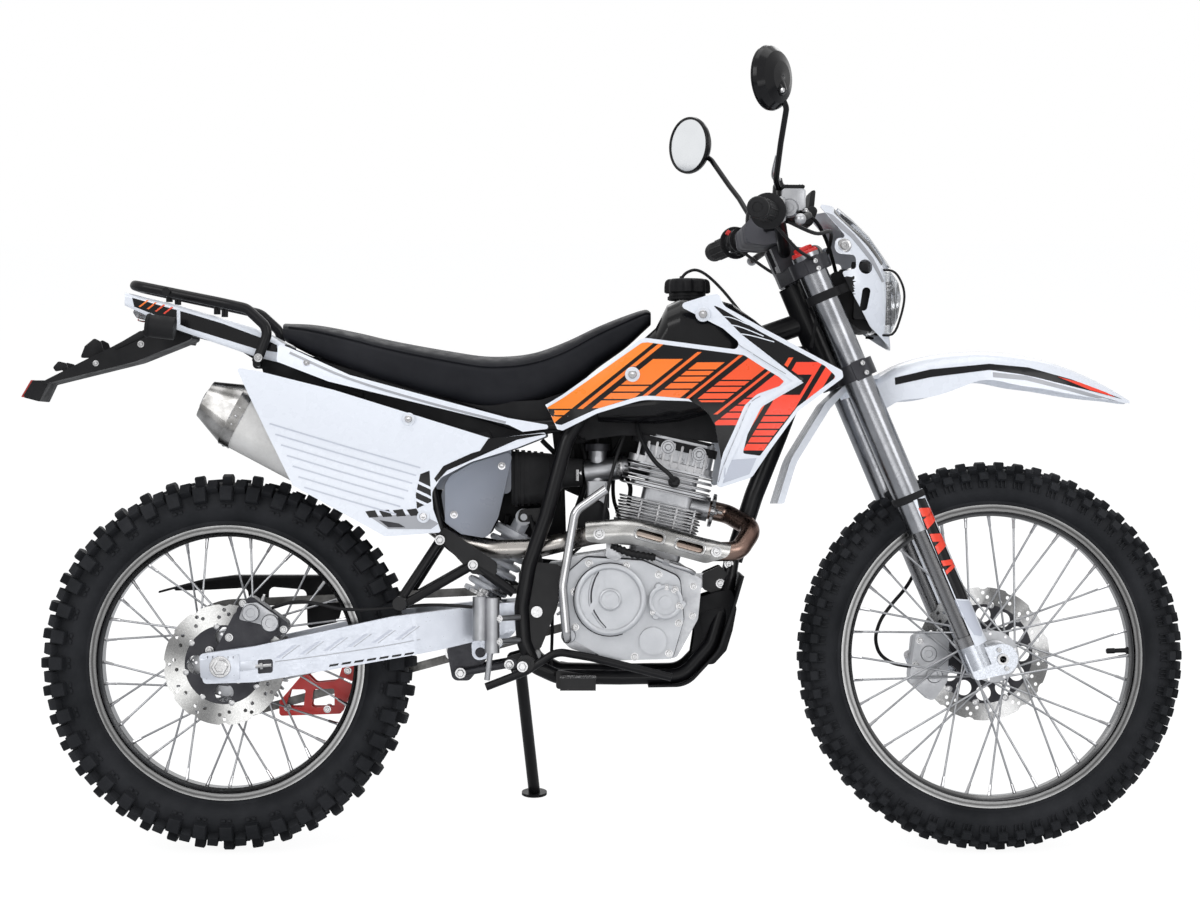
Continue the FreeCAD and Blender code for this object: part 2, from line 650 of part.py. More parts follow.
# ---------------------------------------------------------------- engine
def make_engine():
    case_rows = [(592, 462, 30), (610, 530, 20), (700, 543, 20), (800, 520, 20), (845, 490, 10),
                 (838, 420, 20), (800, 352, 10), (680, 348, 20), (600, 372, 30)]
    case = plate(case_rows, -92, 46)
    left = plate([(668, 480, 20), (668, 535, 10), (800, 520, 20), (845, 490, 10), (838, 420, 20),
                  (800, 352, 10), (684, 348, 20), (668, 380, 10)], 46, 92)
    shaft = rod((DRIVE[0], 40, DRIVE[1]), (DRIVE[0], 80, DRIVE[1]), 10)
    cog = sprocket_shape(mm.drive_teeth, 9.6, mm.chain_line, 9)
    cog.translate(Vector(DRIVE[0], 0, DRIVE[1]))
    front_lug = plate([(830, 496), (860, 496, 8), (860, 472, 8), (830, 472)], -29.7, 29.7)
    rear_lug = plate([(572, 490, 8), (572, 516, 8), (614, 522), (608, 486)], -40, 40)
    bolt_hole = rod((ENGINE_BOLT[0], -50, ENGINE_BOLT[1]), (ENGINE_BOLT[0], 50, ENGINE_BOLT[1]),
                    6 + mm.seat_gap)
    whole = fused([case, left, shaft, cog, front_lug, rear_lug]).cut(bolt_hole)
    node("engine_case", feature("crankcase", whole), ROOT)

    clutch = rod((683, -92, 457), (683, -146, 457), 62)
    clutch = clutch.cut(rod((683, -142, 457), (683, -150, 457), 54))
    hub_boss = rod((683, -130, 457), (683, -146, 457), 18)
    rib = plate([(664, 511), (673, 514), (672, 470, 60), (640, 416), (633, 422), (662, 470, 60)],
                -130, -144)
    sump = rod((758, -120, 384), (758, -130, 384), 24)
    face = plate([(606, 500, 30), (640, 530, 20), (740, 524, 30), (805, 495, 20), (812, 420, 20),
                  (792, 352, 10), (680, 349, 20), (612, 390, 30)], -92, -122)
    filter_cover = rod((780, -120, 452), (780, -134, 452), 30)
    filter_cover = filter_cover.cut(rod((780, -131, 452), (780, -140, 452), 22))
    filter_cap = rod((780, -120, 452), (780, -135, 452), 11)
    stator = rod((735, 92, 440), (735, 128, 440), 66)
    node("engine_covers", feature("covers", Part.Compound(
        [fused([face, clutch, hub_boss, rib, filter_cover, filter_cap, sump]), stator])), ROOT)

    tilt = HEAD_PLACE
    fins = [slab([(-62, -60, 14), (62, -60, 14), (62, 60, 14), (-62, 60, 14)], z, z + 4)
            for z in range(14, 94, 11)]
    fins += [slab([(-70, -66, 16), (70, -66, 16), (70, 66, 16), (-70, 66, 16)], z, z + 4)
             for z in (120, 132, 144, 156)]
    core = slab([(-46, -46, 12), (46, -46, 12), (46, 46, 12), (-46, 46, 12)], 0, 180)
    cover = slab([(-64, -56, 18), (64, -56, 18), (64, 56, 18), (-64, 56, 18)], 166, 212)
    ribs = [Part.makeBox(5, 120, 38, Vector(x, -60, 170)) for x in range(-56, 56, 14)]
    caps = [rod((x, -56, z), (x, -68, z), 13) for x, z in ((-20, 194), (36, 194))]
    plug = rod((3, -40, 137), (3, -88, 137), 8)
    port = rod((40, -20, 102), (76, -20, 102), 22)
    inlet = rod((-40, 0, 150), (-78, 0, 150), 20)
    block = fused([core] + fins + ribs + caps + [cover, plug, port, inlet])
    block.Placement = tilt
    node("cylinder", feature("barrel_and_head", block), ROOT)


DRIVE = (620.0, 436.0)
HEAD_PLACE = Placement(Vector(762, 0, 529.1), Rotation(Vector(0, 1, 0), 13))


def make_chain():
    rear_pitch = mm.chain_pitch / (2 * math.sin(math.pi / mm.rear_teeth))
    drive_pitch = mm.chain_pitch / (2 * math.sin(math.pi / mm.drive_teeth))
    rear = Vector(0, 0, REAR_AXLE_HEIGHT)
    drive = Vector(DRIVE[0], 0, DRIVE[1])
    span = drive - rear
    heading = math.atan2(span.z, span.x)
    opening = math.acos((rear_pitch - drive_pitch) / span.Length)

    def spot(centre, radius, angle):
        return centre + Vector(radius * math.cos(angle), 0, radius * math.sin(angle))

    def loop(offset):
        high = heading + opening
        low = heading - opening
        big = rear_pitch + offset
        small = drive_pitch + offset
        edges = [Part.LineSegment(spot(rear, big, high), spot(drive, small, high)),
                 Part.Arc(spot(drive, small, high), spot(drive, small, heading),
                          spot(drive, small, low)),
                 Part.LineSegment(spot(drive, small, low), spot(rear, big, low)),
                 Part.Arc(spot(rear, big, low), spot(rear, big, heading + math.pi),
                          spot(rear, big, high))]
        return Part.Wire([edge.toShape() for edge in edges])

    outline = Part.Face(loop(7.2)).cut(Part.Face(loop(-7.2)))
    parts = []
    for start in (-8.0, 5.5):
        side = outline.copy()
        side.translate(Vector(0, mm.chain_line + start, 0))
        parts.append(side.extrude(Vector(0, 2.5, 0)))
    for angle in (heading + opening, heading - opening):
        begin = spot(rear, rear_pitch, angle)
        finish = spot(drive, drive_pitch, angle)
        count = int((finish - begin).Length / mm.chain_pitch)
        for index in range(3, count - 1):
            place = begin + (finish - begin) * (index / count)
            parts.append(rod((place.x, mm.chain_line - 6.5, place.z),
                             (place.x, mm.chain_line + 6.5, place.z), 4.2))
    node("drive_chain", feature("chain_links", fused(parts)), ROOT)


# ---------------------------------------------------------------- rear suspension
def make_swingarm():
    top = REAR_AXLE_HEIGHT
    fit = mm.seat_gap
    outer = mm.swingarm_half + 12
    inner = mm.swingarm_half - 12
    beam = plate([(-38, top + 22, 8), (60, top + 36, 20), (300, 426, 60), (470, 446, 20),
                  (573, 452, 18.5), (573, 414, 18.5), (470, 386, 20), (380, 366, 30), (200, 334, 60),
                  (60, top - 27, 20), (-30, top - 30, 8)], -outer, outer)
    plan = [(-40, inner), (330, inner, 20), (440, 56, 20), (498, 50, 8), (498, -50, 8),
            (440, -56, 20), (330, -inner, 20), (-40, -inner), (-40, -outer), (340, -outer, 30),
            (500, -78, 30), (580, -78), (580, -50), (514, -50, 8), (514, 50, 8), (580, 50),
            (580, 78), (500, 78, 30), (340, outer, 30), (-40, outer)]
    whole = beam.common(slab(plan, 200, 600))
    lug_rows = [(438, 340, 14), (470, 348, 14), (514, 394, 6), (514, 420, 4), (498, 420, 6),
                (478, 396, 10), (436, 376, 10)]
    lugs = [plate(lug_rows, side * 28, side * 36) for side in (1, -1)]
    slot = plate([(-22, top - 10.3, 9), (30, top - 10.3, 9), (30, top + 10.3, 9),
                  (-22, top + 10.3, 9)], -150, 150)
    pivot = rod((PIVOT[0], -150, PIVOT[1]), (PIVOT[0], 150, PIVOT[1]), 10 + fit)
    rocker = rod((ROCKER_BOLT[0], -50, ROCKER_BOLT[1]), (ROCKER_BOLT[0], 50, ROCKER_BOLT[1]), 9 + fit)
    whole = whole.fuse(lugs).cut([slot, pivot, rocker])
    node("swingarm", feature("swingarm_beams", whole), ROOT)


def make_axles():
    half = mm.swingarm_half
    height = REAR_AXLE_HEIGHT
    rear = cylinder("rear_spindle", "sizes.axle_radius", "2 * sizes.swingarm_half + 44",
                    (0, -half - 22, height))
    head = cylinder("rear_spindle_nut", "15", "10", (0, -half - 22, height))
    tail = cylinder("rear_spindle_head", "15", "9.7", (0, half + 12.3, height))
    spacer_length = "sizes.swingarm_half - 12 - 78.5"
    spacers = [cylinder("right_spacer", "16", spacer_length, (0, -half + 12, height)),
               cylinder("left_spacer", "16", spacer_length, (0, 78.5, height))]
    pivot = cylinder("pivot_bolt", "10", "196", (PIVOT[0], -98, PIVOT[1]))
    joined = fuse("rear_axle_joined", [rear, head, tail] + spacers)
    node("rear_axle", group("axle_set", [joined, pivot]), ROOT)
    end = (mm.clamp_offset + mm.axle_lead, -mm.fork_half_width - 24, 0)
    length = "2 * sizes.fork_half_width + 48"
    front = cylinder("front_spindle", "sizes.axle_radius", length, end)
    inner = mm.fork_half_width - 19
    collar = "sizes.fork_half_width - 19 - 72.5"
    left = cylinder("front_left_spacer", "16", collar, (end[0], 72.5, 0))
    right = cylinder("front_right_spacer", "16", "sizes.fork_half_width - 19 - 46.5",
                     (end[0], -inner, 0))
    bore = cylinder("front_spindle_bore", "sizes.axle_bore", length, end)
    solid = fuse("front_axle_joined", [front, left, right])
    node("front_axle", cut("front_axle_tube", solid, bore), FORK)


# ---------------------------------------------------------------- fork, in its own frame
def make_fork():
    offset = mm.clamp_offset
    half = mm.fork_half_width
    outer = mm.fork_outer_radius
    fit = mm.seat_gap
    clamps = []
    for height, thick in ((mm.lower_clamp_height, mm.clamp_thickness),
                          (mm.upper_clamp_height, 26)):
        web = slab(mirrored_rows([(-22, 14, 10), (4, half, 20), (offset + 34, half, 20),
                                  (offset + 14, 30, 14)]), height - thick / 2, height + thick / 2)
        rings = [Part.makeCylinder(outer + 10, thick, Vector(offset, side * half,
                                                             height - thick / 2))
                 for side in (1, -1)]
        clamps += [web] + rings
    stem = Part.makeCylinder(mm.stem_radius, mm.upper_clamp_height - mm.lower_clamp_height,
                             Vector(0, 0, mm.lower_clamp_height))
    risers = [Part.makeBox(40, 26, 46, Vector(-17, side * 42 - 13, mm.upper_clamp_height + 12))
              for side in (1, -1)]
    whole = fused(clamps + [stem] + risers)
    bores = [Part.makeCylinder(outer + mm.running_fit, 400, Vector(offset, side * half, 480))
             for side in (1, -1)]
    bar_seat = handlebar_shape(mm.bar_radius + mm.running_fit)
    bar_seat.Placement = drawn_fork.inverse()
    node("triple_clamps", feature("clamps_and_stem", whole.cut(bores + [bar_seat])), FORK)

    outers = [cylinder("fork_outer_%s" % name, "sizes.fork_outer_radius",
                       "sizes.upper_clamp_height + 22 - sizes.outer_tube_bottom",
                       (offset, side * half, mm.outer_tube_bottom), (0, 0, 1))
              for name, side in (("left", 1), ("right", -1))]
    node("fork_tubes", group("fork_outers", outers), FORK)

    legs = []
    axle_x = offset + mm.axle_lead
    for side in (1, -1):
        inner = Part.makeCylinder(mm.fork_inner_radius, mm.outer_tube_bottom - 10,
                                  Vector(offset, side * half, 10))
        socket = Part.makeCylinder(outer, 62, Vector(offset, side * half, 0))
        lug = rod((axle_x, side * half - 19, 0), (axle_x, side * half + 19, 0), 27)
        web = plate([(offset - 20, -16, 8), (axle_x, -27, 2), (axle_x, 27, 2),
                     (offset - 20, 40, 8)], side * half - 19, side * half + 19)
        pieces = [inner, socket, lug, web]
        if side > 0:
            pieces.append(plate([(-64, -14, 8), (-64, 56, 8), (offset, 62), (offset, -10)],
                                half - 17, half - 9))
        leg = fused(pieces)
        legs.append(leg.cut(rod((axle_x, -200, 0), (axle_x, 200, 0), mm.axle_radius + 0.05)))
    node("fork_legs", feature("fork_inners", Part.Compound(legs)), FORK)

    guards = []
    for side in (1, -1):
        centre = Vector(offset, side * half, 40)
        shell = Part.makeCylinder(outer + fit + 2.5, 290, centre)
        shell = shell.cut(Part.makeCylinder(outer + fit, 290, centre))
        keep = Part.makeBox(60, 80, 290, centre + Vector(2, -40, 0))
        guards.append(shell.common(keep).cut(rod((axle_x, -200, 0), (axle_x, 200, 0), 27 + fit)))
    node("fork_guards", feature("guard_shells", Part.Compound(guards)), FORK)


# ---------------------------------------------------------------- handlebar, bike frame
BAR_CENTRE = (990, 1068)
BAR_BEND = (967, 160, 1124)
BAR_END = Vector(906, 405, 1110)
BAR_HEADING = (BAR_END - Vector(*BAR_BEND)).normalize()
CROSSBAR = (955, 1106)


def handlebar_shape(radius):
    half_bar = [(BAR_CENTRE[0], 0, BAR_CENTRE[1]), (BAR_CENTRE[0], 62, BAR_CENTRE[1], 50),
                BAR_BEND + (50,), tuple(BAR_END)]
    left = bar(half_bar, radius)
    return left.fuse(left.mirror(Vector(), Vector(0, 1, 0)))


def crossbar_shape(radius):
    x, z = CROSSBAR
    return bar([(974.5, -128, z), (x, -100, z, 20), (x, 100, z, 20), (974.5, 128, z)], radius)


def make_handlebar():
    node("handlebar", feature("bar_tube", handlebar_shape(mm.bar_radius).fuse(crossbar_shape(6))),
         STEER)
    grip = rod(tuple(BAR_END - BAR_HEADING * 122), tuple(BAR_END + BAR_HEADING * 3),
               mm.grip_radius)
    flange = rod(tuple(BAR_END - BAR_HEADING * 126), tuple(BAR_END - BAR_HEADING * 122), 28)
    hollow = rod(tuple(BAR_END - BAR_HEADING * 235), tuple(BAR_END), mm.bar_radius + mm.running_fit)
    node("grips", feature("grip_pair", both_sides(grip.fuse(flange).cut(hollow))), STEER)

    hold = BAR_END - BAR_HEADING * 160
    housing = rod(tuple(hold), tuple(BAR_END - BAR_HEADING * 127), 24)
    perch = rod(tuple(hold - BAR_HEADING * 40), tuple(hold + BAR_HEADING * 2), 18)
    block = Part.makeBox(46, 44, 34, hold + Vector(8, -44, -10))
    lever = bar([tuple(hold + Vector(42, -20, -4)), tuple(hold + Vector(62, 30, -8)) + (30,),
                 (978, 392, 1092)], 6)
    control = fused([housing, perch, block, lever]).cut(hollow)
    node("bar_controls", feature("control_pair", both_sides(control)), STEER)

    pad_shape = rod((CROSSBAR[0], -82, CROSSBAR[1]), (CROSSBAR[0], 82, CROSSBAR[1]), 24)
    node("bar_pad", feature("pad_block", pad_shape.cut(crossbar_shape(6.4))), STEER)

    foot = hold + Vector(16, -20, 24)
    stems = ((-1, [(952, 262, 1172), (956, 300, 1230), (962, 335, 1285)], (938, 352, 1333)),
             (1, [(942, 275, 1200), (925, 300, 1228), (895, 336, 1280)], (860, 361, 1311)))
    mirrors = []
    for side, bends, centre in stems:
        rows = [tuple(foot + Vector(0, 0, 0.2)), tuple(foot + Vector(0, 0, 14))]
        rows += bends + [centre]
        stem = bar([on_side([row], side)[0] + (20,) for row in rows], 5)
        base = rod((foot.x, side * foot.y, foot.z + 0.2), (foot.x, side * foot.y, foot.z + 18), 9)
        head = mirror_head()
        head.rotate(Vector(), Vector(0, 0, 1), 38 * side)
        head.translate(Vector(centre[0], side * centre[1], centre[2]))
        mirrors.append(fused([stem, base, head]))
    node("mirrors", feature("mirror_pair", Part.Compound(mirrors)), STEER)


def mirror_head():
    """A round glass facing back in a domed shell."""
    rows = [(0, -10), (53, -10), (55, -6), (53, 0), (44, 10), (26, 17), (0, 20)]
    profile = Part.Face(Part.makePolygon([Vector(x, r, 0) for r, x in rows + rows[:1]]))
    return profile.revolve(Vector(), Vector(1, 0, 0), 360)


# ---------------------------------------------------------------- body panels
FENDER = [(1148, 70, 846, 58), (1185, 72, 866, 66), (1230, 72, 882, 74), (1300, 71, 893, 66),
          (1345, 70, 895, 54), (1400, 67, 891, 58), (1450, 63, 882, 56), (1500, 56, 867, 50),
          (1550, 44, 846, 36), (1590, 31, 825, 20), (1617, 20, 808, 6)]
MASK = [(888, 1186, 40, 1150), (925, 1184, 66, 1120), (1000, 1182, 100, 1070),
        (1050, 1174, 100, 1056), (1095, 1142, 97, 1040), (1152, 1084, 88, 1020)]


def make_front_panels():
    arch = smooth_loft([arched_section(*row) for row in FENDER])
    flap = plate([(1158, 851), (1134, 846), (1092, 828), (1062, 800, 30), (1000, 700, 100),
                  (976, 622), (988, 622), (1010, 694, 100), (1070, 790, 30), (1096, 818),
                  (1136, 838), (1158, 844)], -62, 62)
    base = mm.lower_clamp_height - mm.clamp_thickness / 2 - 24.4
    boss = Part.makeCylinder(9, 24, Vector(14, 34, base))
    boss.Placement = drawn_fork
    shell = arch.fuse([flap, boss, boss.mirror(Vector(), Vector(0, 1, 0))])
    node("front_fender", feature("front_fender_shell", shell), STEER)

    outline = [(1046, 1150, 4), (1082, 1150, 10), (1140, 1095, 60), (1180, 1048, 20),
               (1190, 925, 10), (1190, 894, 2), (1140, 935, 30), (1100, 1000, 20),
               (1086, 1030, 4), (1112, 1036, 6), (1112, 1060, 8), (1072, 1062, 14),
               (1076, 1090, 10), (1098, 1090, 8)]
    lamp_rows = [(1150, 1034, 4), (1182, 1034, 4), (1197, 1016, 8), (1203, 990, 10),
                 (1196, 955, 10), (1182, 925, 4), (1150, 925, 4)]
    shell = smooth_loft([mask_section(*row) for row in MASK])
    mask = shell.common(plate(outline, -110, 110)).cut(plate(lamp_rows, -50.3, 50.3))
    slot = plate([(1118, 962, 8), (1124, 1003, 8), (1140, 1003, 8), (1132, 962, 8)], -120, 120)
    mask = mask.cut([rod((1130, -120, 1040), (1130, 120, 1040), 13), slot])
    bracket = mask_bracket()
    bracket.Placement = drawn_fork
    brackets = [bracket, bracket.mirror(Vector(), Vector(0, 1, 0))]
    node("headlight_mask", feature("mask_shell", fused([mask] + brackets)), STEER)
    bulge = slab(mirrored_rows([(1140, 50), (1176, 50, 14), (1194, 38, 16), (1206, 20, 20)]),
                 900, 1050)
    node("headlight", feature("headlight_unit", plate(lamp_rows, -50, 50).common(bulge)), STEER)


def mask_section(z, front, half, back):
    """Round the front of the bike at height z, open behind."""
    wall = mm.panel_thickness
    shares = [(0.0, 1.0), (0.55, 0.93), (0.86, 0.62), (0.97, 0.3)]
    depth = front - back
    left = [(back + depth * x, half * y, z) for x, y in shares]
    outer = left + [(front, 0, z)] + [(x, -y, z) for x, y, _ in reversed(left)]
    left = [(back + depth * x - wall * x, half * y - wall * min(1, 1.4 - x), z) for x, y in shares]
    inner = left + [(front - wall, 0, z)] + [(x, -y, z) for x, y, _ in reversed(left)]
    return sheet_between(outer, inner)


def mask_bracket():
    """A band round the left fork tube with an arm to the mask, in the fork's frame."""
    outer = mm.fork_outer_radius + mm.seat_gap
    centre = Vector(mm.clamp_offset, mm.fork_half_width, 700)
    band = Part.makeCylinder(outer + 4, 16, centre)
    arm = Part.makeBox(44, 6, 16, centre + Vector(18, -13, 0))
    return band.fuse(arm).cut(Part.makeCylinder(outer, 16, centre))


def make_tank_and_seat():
    tank = ruled_loft([cross_section(662, 84, 768, 838, 24), cross_section(700, 96, 766, 876, 30),
                       cross_section(764, 108, 764, 934, 40), cross_section(784, 113, 766, 974, 48),
                       cross_section(806, 116, 768, 985, 50), cross_section(868, 118, 784, 985, 50),
                       cross_section(900, 114, 800, 976, 46), cross_section(940, 98, 832, 948, 34),
                       cross_section(962, 84, 850, 930, 24)])
    slope = math.degrees(math.atan2(918 - 792, 950 - 640))
    half = 20 + mm.seat_gap
    tunnel = Part.makeBox(420, 2 * half, 170, Vector(-20, -half, -150))
    tunnel.Placement = Placement(Vector(640, 0, 792), Rotation(Vector(0, 1, 0), -slope))
    node("fuel_tank", feature("tank_shell", tank.cut(tunnel)), ROOT)
    lobes = []
    for index in range(16):
        angle = math.radians(22.5 * index)
        reach = 41 if index % 2 else 35
        lobes.append((822 + reach * math.cos(angle), reach * math.sin(angle), 9))
    cap = slab(lobes, 1000, 1022).fuse(rod((822, 0, 985.2), (822, 0, 1004), 33))
    node("fuel_cap", feature("cap_turned", cap), ROOT)
    seat = ruled_loft([cross_section(112, 88, 908, 944, 14), cross_section(300, 104, 842, 910, 26),
                       cross_section(470, 98, 792, 884, 34), cross_section(560, 80, 804, 892, 30),
                       cross_section(610, 62, 824, 914, 26), cross_section(700, 52, 890, 952, 18),
                       cross_section(754, 44, 938, 966, 8)])
    node("seat", feature("seat_foam", seat), ROOT)


RACK_FOOT = (62.0, 872.0)
# x, lower z, upper z, y below, y amid, y above
SHROUD_SHEET = [(515, 735, 820, 106, 111, 106), (600, 735, 880, 114, 122, 108),
                (700, 720, 950, 124, 134, 108), (780, 690, 1000, 130, 142, 110),
                (850, 640, 1005, 130, 150, 114), (920, 640, 1005, 136, 157, 124),
                (1000, 640, 1005, 144, 162, 140), (1095, 640, 1005, 152, 165, 150)]
PANEL_SHEET = [(20, 640, 925, 148, 152, 97), (100, 630, 905, 147, 152, 98),
               (200, 590, 868, 144, 150, 101), (300, 550, 838, 138, 147, 104),
               (400, 550, 808, 128, 140, 107), (500, 600, 784, 116, 127, 109),
               (610, 640, 764, 106, 114, 110)]


def make_side_panels():
    shroud_rows = [(524, 770, 4), (600, 815, 30), (735, 911, 10), (745, 914, 6), (925, 890, 30),
                   (880, 930, 10), (800, 972, 6), (850, 988, 10), (873, 992, 6), (882, 970, 20),
                   (950, 930, 60), (1086, 856, 6), (1088, 844, 6), (1010, 786, 60),
                   (960, 716, 20), (930, 670, 14), (868, 650, 6), (877, 700, 20),
                   (864, 772, 30), (830, 803, 40), (740, 806, 100), (660, 782, 60), (600, 752, 6)]
    outline = plate(shroud_rows, 60, 220)
    left = standing_sheet(SHROUD_SHEET).common(outline)
    crease = plate([(806, 968), (900, 905), (1000, 838), (925, 800), (880, 690), (870, 655),
                    (876, 652), (890, 690), (936, 792), (1016, 838), (908, 914), (814, 974)],
                   120, 220)
    raised = standing_sheet(SHROUD_SHEET)
    raised.translate(Vector(0, 2.5, 0))
    ridge = raised.common(crease).common(outline)
    pegs = [rod((845, 117.3, 955), (845, 137, 955), 8), rod((722, 102.4, 850), (722, 138, 850), 8)]
    node("shrouds", feature("shroud_pair", both_sides(fused([left, ridge] + pegs))), ROOT)

    panel_rows = [(30, 862, 4), (68, 856, 10), (200, 823, 30), (474, 738, 4), (596, 752, 4),
                  (520, 722, 20), (440, 697, 20), (388, 670, 14), (372, 645, 20), (374, 615, 20),
                  (388, 574, 4), (290, 567, 6), (130, 656, 6)]
    left = standing_sheet(PANEL_SHEET).common(plate(panel_rows, 80, 200))
    peg = rod((331, 80.3, 772), (331, 136, 772), 7)
    node("side_panels", feature("side_panel_pair", both_sides(left.fuse(peg))), ROOT)

    cover_rows = [(384, 640, 20), (400, 672, 16), (440, 695, 20), (512, 716, 8), (500, 660, 20),
                  (486, 600, 20), (466, 562, 14), (420, 570, 14), (392, 590, 10)]
    cover = plate(cover_rows, 66, 70).fuse(plate(cover_rows, 70, 90).common(Part.makeBox(200, 40, 300, Vector(392, 60, 500))))
    box = plate([(352, 650, 20), (352, 735, 20), (508, 735, 10), (508, 640, 10)], -66, 66)
    covers = [cover, cover.mirror(Vector(), Vector(0, 1, 0))]
    node("airbox", feature("airbox_body", box.fuse(covers)), ROOT)
    boot = ruled_loft([cross_section(508.5, 58, 620, 716, 20), cross_section(575, 50, 624, 712, 20),
                       cross_section(600, 27, 650, 704, 20), cross_section(634, 24, 654, 702, 20)])
    ribs = []
    for k in range(5):
        x = 514 + 11 * k
        ribs.append(ruled_loft([cross_section(x + step, 60 - 2.6 * k, 617 + k, 719 - k, 22)
                                for step in (0, 5)]))
    node("intake_boot", feature("boot_rubber", fused([boot] + ribs)), ROOT)


def make_rear_panels():
    wall = mm.panel_thickness
    sections = [(110, 94, 868, 905), (60, 92, 880, 932), (-80, 84, 928, 974), (-178, 60, 972, 998)]
    outer = ruled_loft([cross_section(x, half, low, high, 8) for x, half, low, high in sections])
    inner = ruled_loft([cross_section(x * 1.02, half - wall, low - 20, high - wall, 6)
                        for x, half, low, high in sections])
    strip = plate([(99, 904, 4), (108, 903, 4), (150, 884, 20), (225, 850, 30), (505, 774, 10),
                   (598, 758, 4), (530, 750, 4), (505, 762, 10), (190, 838, 30), (99, 873, 4)],
                  80, 200)
    strip = standing_sheet(PANEL_SHEET).common(strip).fuse(rod((107, 92.4, 889), (107, 105, 889), 6))
    strips = [strip, strip.mirror(Vector(), Vector(0, 1, 0))]
    node("rear_fender", feature("rear_fender_shell", outer.cut(inner).fuse(strips)), ROOT)
    lamp = plate([(-170, 968, 6), (-160, 953, 8), (-136, 946, 4), (-110.5, 952, 4),
                  (-110.5, 972, 4)], -40, 40)
    node("tail_light", feature("tail_lamp", lamp), ROOT)
    holder = plate([(-60, 915, 6), (-66, 950, 6), (-110, 966, 6), (-110, 950, 4), (-200, 902, 10),
                    (-245, 880, 8), (-320, 842, 3), (-322, 835, 3), (-160, 875, 60)], -55, 55)
    reflector = plate([(-362, 812, 3), (-344, 842, 3), (-314, 842, 3), (-332, 804, 3)], -45, 45)
    node("plate_holder", feature("plate_bracket", holder.fuse(reflector)), ROOT)
    pods = []
    for side in (1, -1):
        stalk = rod((-100, side * 55.8, 930), (-104, side * 128, 934), 6)
        pod = rod((-128, side * 132, 936), (-78, side * 132, 930), 20)
        pods.append(stalk.fuse(pod))
    node("rear_indicators", feature("indicator_pair", Part.Compound(pods)), ROOT)
    x, z = RACK_FOOT
    side_rail = [(-163, 0, 1011), (-163, 60, 1011, 30), (0, 99, 977, 200), (44, 102, 967, 30),
                 (84, 108, 930, 25), (x, 108, z)]
    half = bar(side_rail, 9)
    tubes = [half, half.mirror(Vector(), Vector(0, 1, 0)), rod((x, -108, z), (x, 108, z), 7)]
    for place, height, top in ((-100, 998, 981), (-15, 980, 959)):
        tubes.append(rod((place, -90, height), (place, 90, height), 7))
        tubes += [rod((place, side * 50, height), (place, side * 50, top), 6) for side in (1, -1)]
    node("luggage_rack", feature("rack_tubes", fused(tubes)), ROOT)


# ---------------------------------------------------------------- exhaust
SILENCER_PLACE = Placement(Vector(20, -90, 782), Rotation(Vector(0, 1, 0), 28))
SILENCER_INLET = tuple(SILENCER_PLACE.multVec(Vector(354, 0, 0))) + (16,)
SILENCER_END = tuple(SILENCER_PLACE.multVec(Vector(330.4, 0, 0)))


def make_exhaust():
    port = [tuple(HEAD_PLACE.multVec(Vector(x, -20, 102))) for x in (76.3, 112)]
    route = [port[0], port[1] + (25,), (936, -76, 578, 30), (908, -112, 540, 30),
             (840, -126, 540, 60), (720, -127, 574, 100), (655, -122, 570, 40), (612, -64, 558, 40),
             (556, -58, 544, 40), (480, -61, 542, 60), (430, -50, 552, 60), (384, -48, 572, 40),
             (352, -72, 600, 20), SILENCER_INLET, SILENCER_END]
    node("exhaust_pipe", feature("header_pipe", bar(route, mm.pipe_radius)), ROOT)
    part_route = [(960, -104, 520), (840, -126, 540, 60), (720, -127, 574, 100), (600, -117.8, 566.6)]
    outline = plate([(640, 606, 10), (720, 606, 20), (800, 588, 40), (898, 566, 8), (890, 532, 16),
                     (850, 520, 20), (740, 550, 40), (640, 558, 10)], -170, -132)
    shield = bar(part_route, mm.pipe_radius + 9).cut(bar(part_route, mm.pipe_radius + 7.4))
    shield = shield.common(outline)
    slots = []
    for x, z in ((752, 569), (822, 550)):
        slot = plate([(-24, -7, 6), (24, -7, 6), (24, 7, 6), (-24, 7, 6)], -170, -120)
        slot.Placement = Placement(Vector(x, 0, z), Rotation(Vector(0, 1, 0), 15))
        slots.append(slot)
    spacers = [rod((x, y - mm.pipe_radius - mm.seat_gap, z), (x, -153, z), 5)
               for x, y, z in ((664, -123.3, 572), (868, -121.5, 541))]
    whole = fused([shield.cut(slots)] + spacers)
    node("heat_shield", feature("shield_plate", whole), ROOT)
    body = silencer_body([(-56, 26, 34), (0, 42, 57), (298, 42, 57), (330, 20, 22)])
    outlet = Part.makeCylinder(17, 60, Vector(-70, 0, 0), Vector(1, 0, 0))
    band = silencer_body([(0, 43.5, 58.5), (20, 43.5, 58.5)])
    body = body.fuse(band).cut(outlet)
    body.Placement = SILENCER_PLACE
    node("silencer", feature("silencer_can", body), ROOT)


def silencer_body(rows):
    """Rounded sections along x from rows of x, half width and half height."""
    sections = [cross_section(x, half, -tall, tall, half * 0.95) for x, half, tall in rows]
    return ruled_loft(sections)


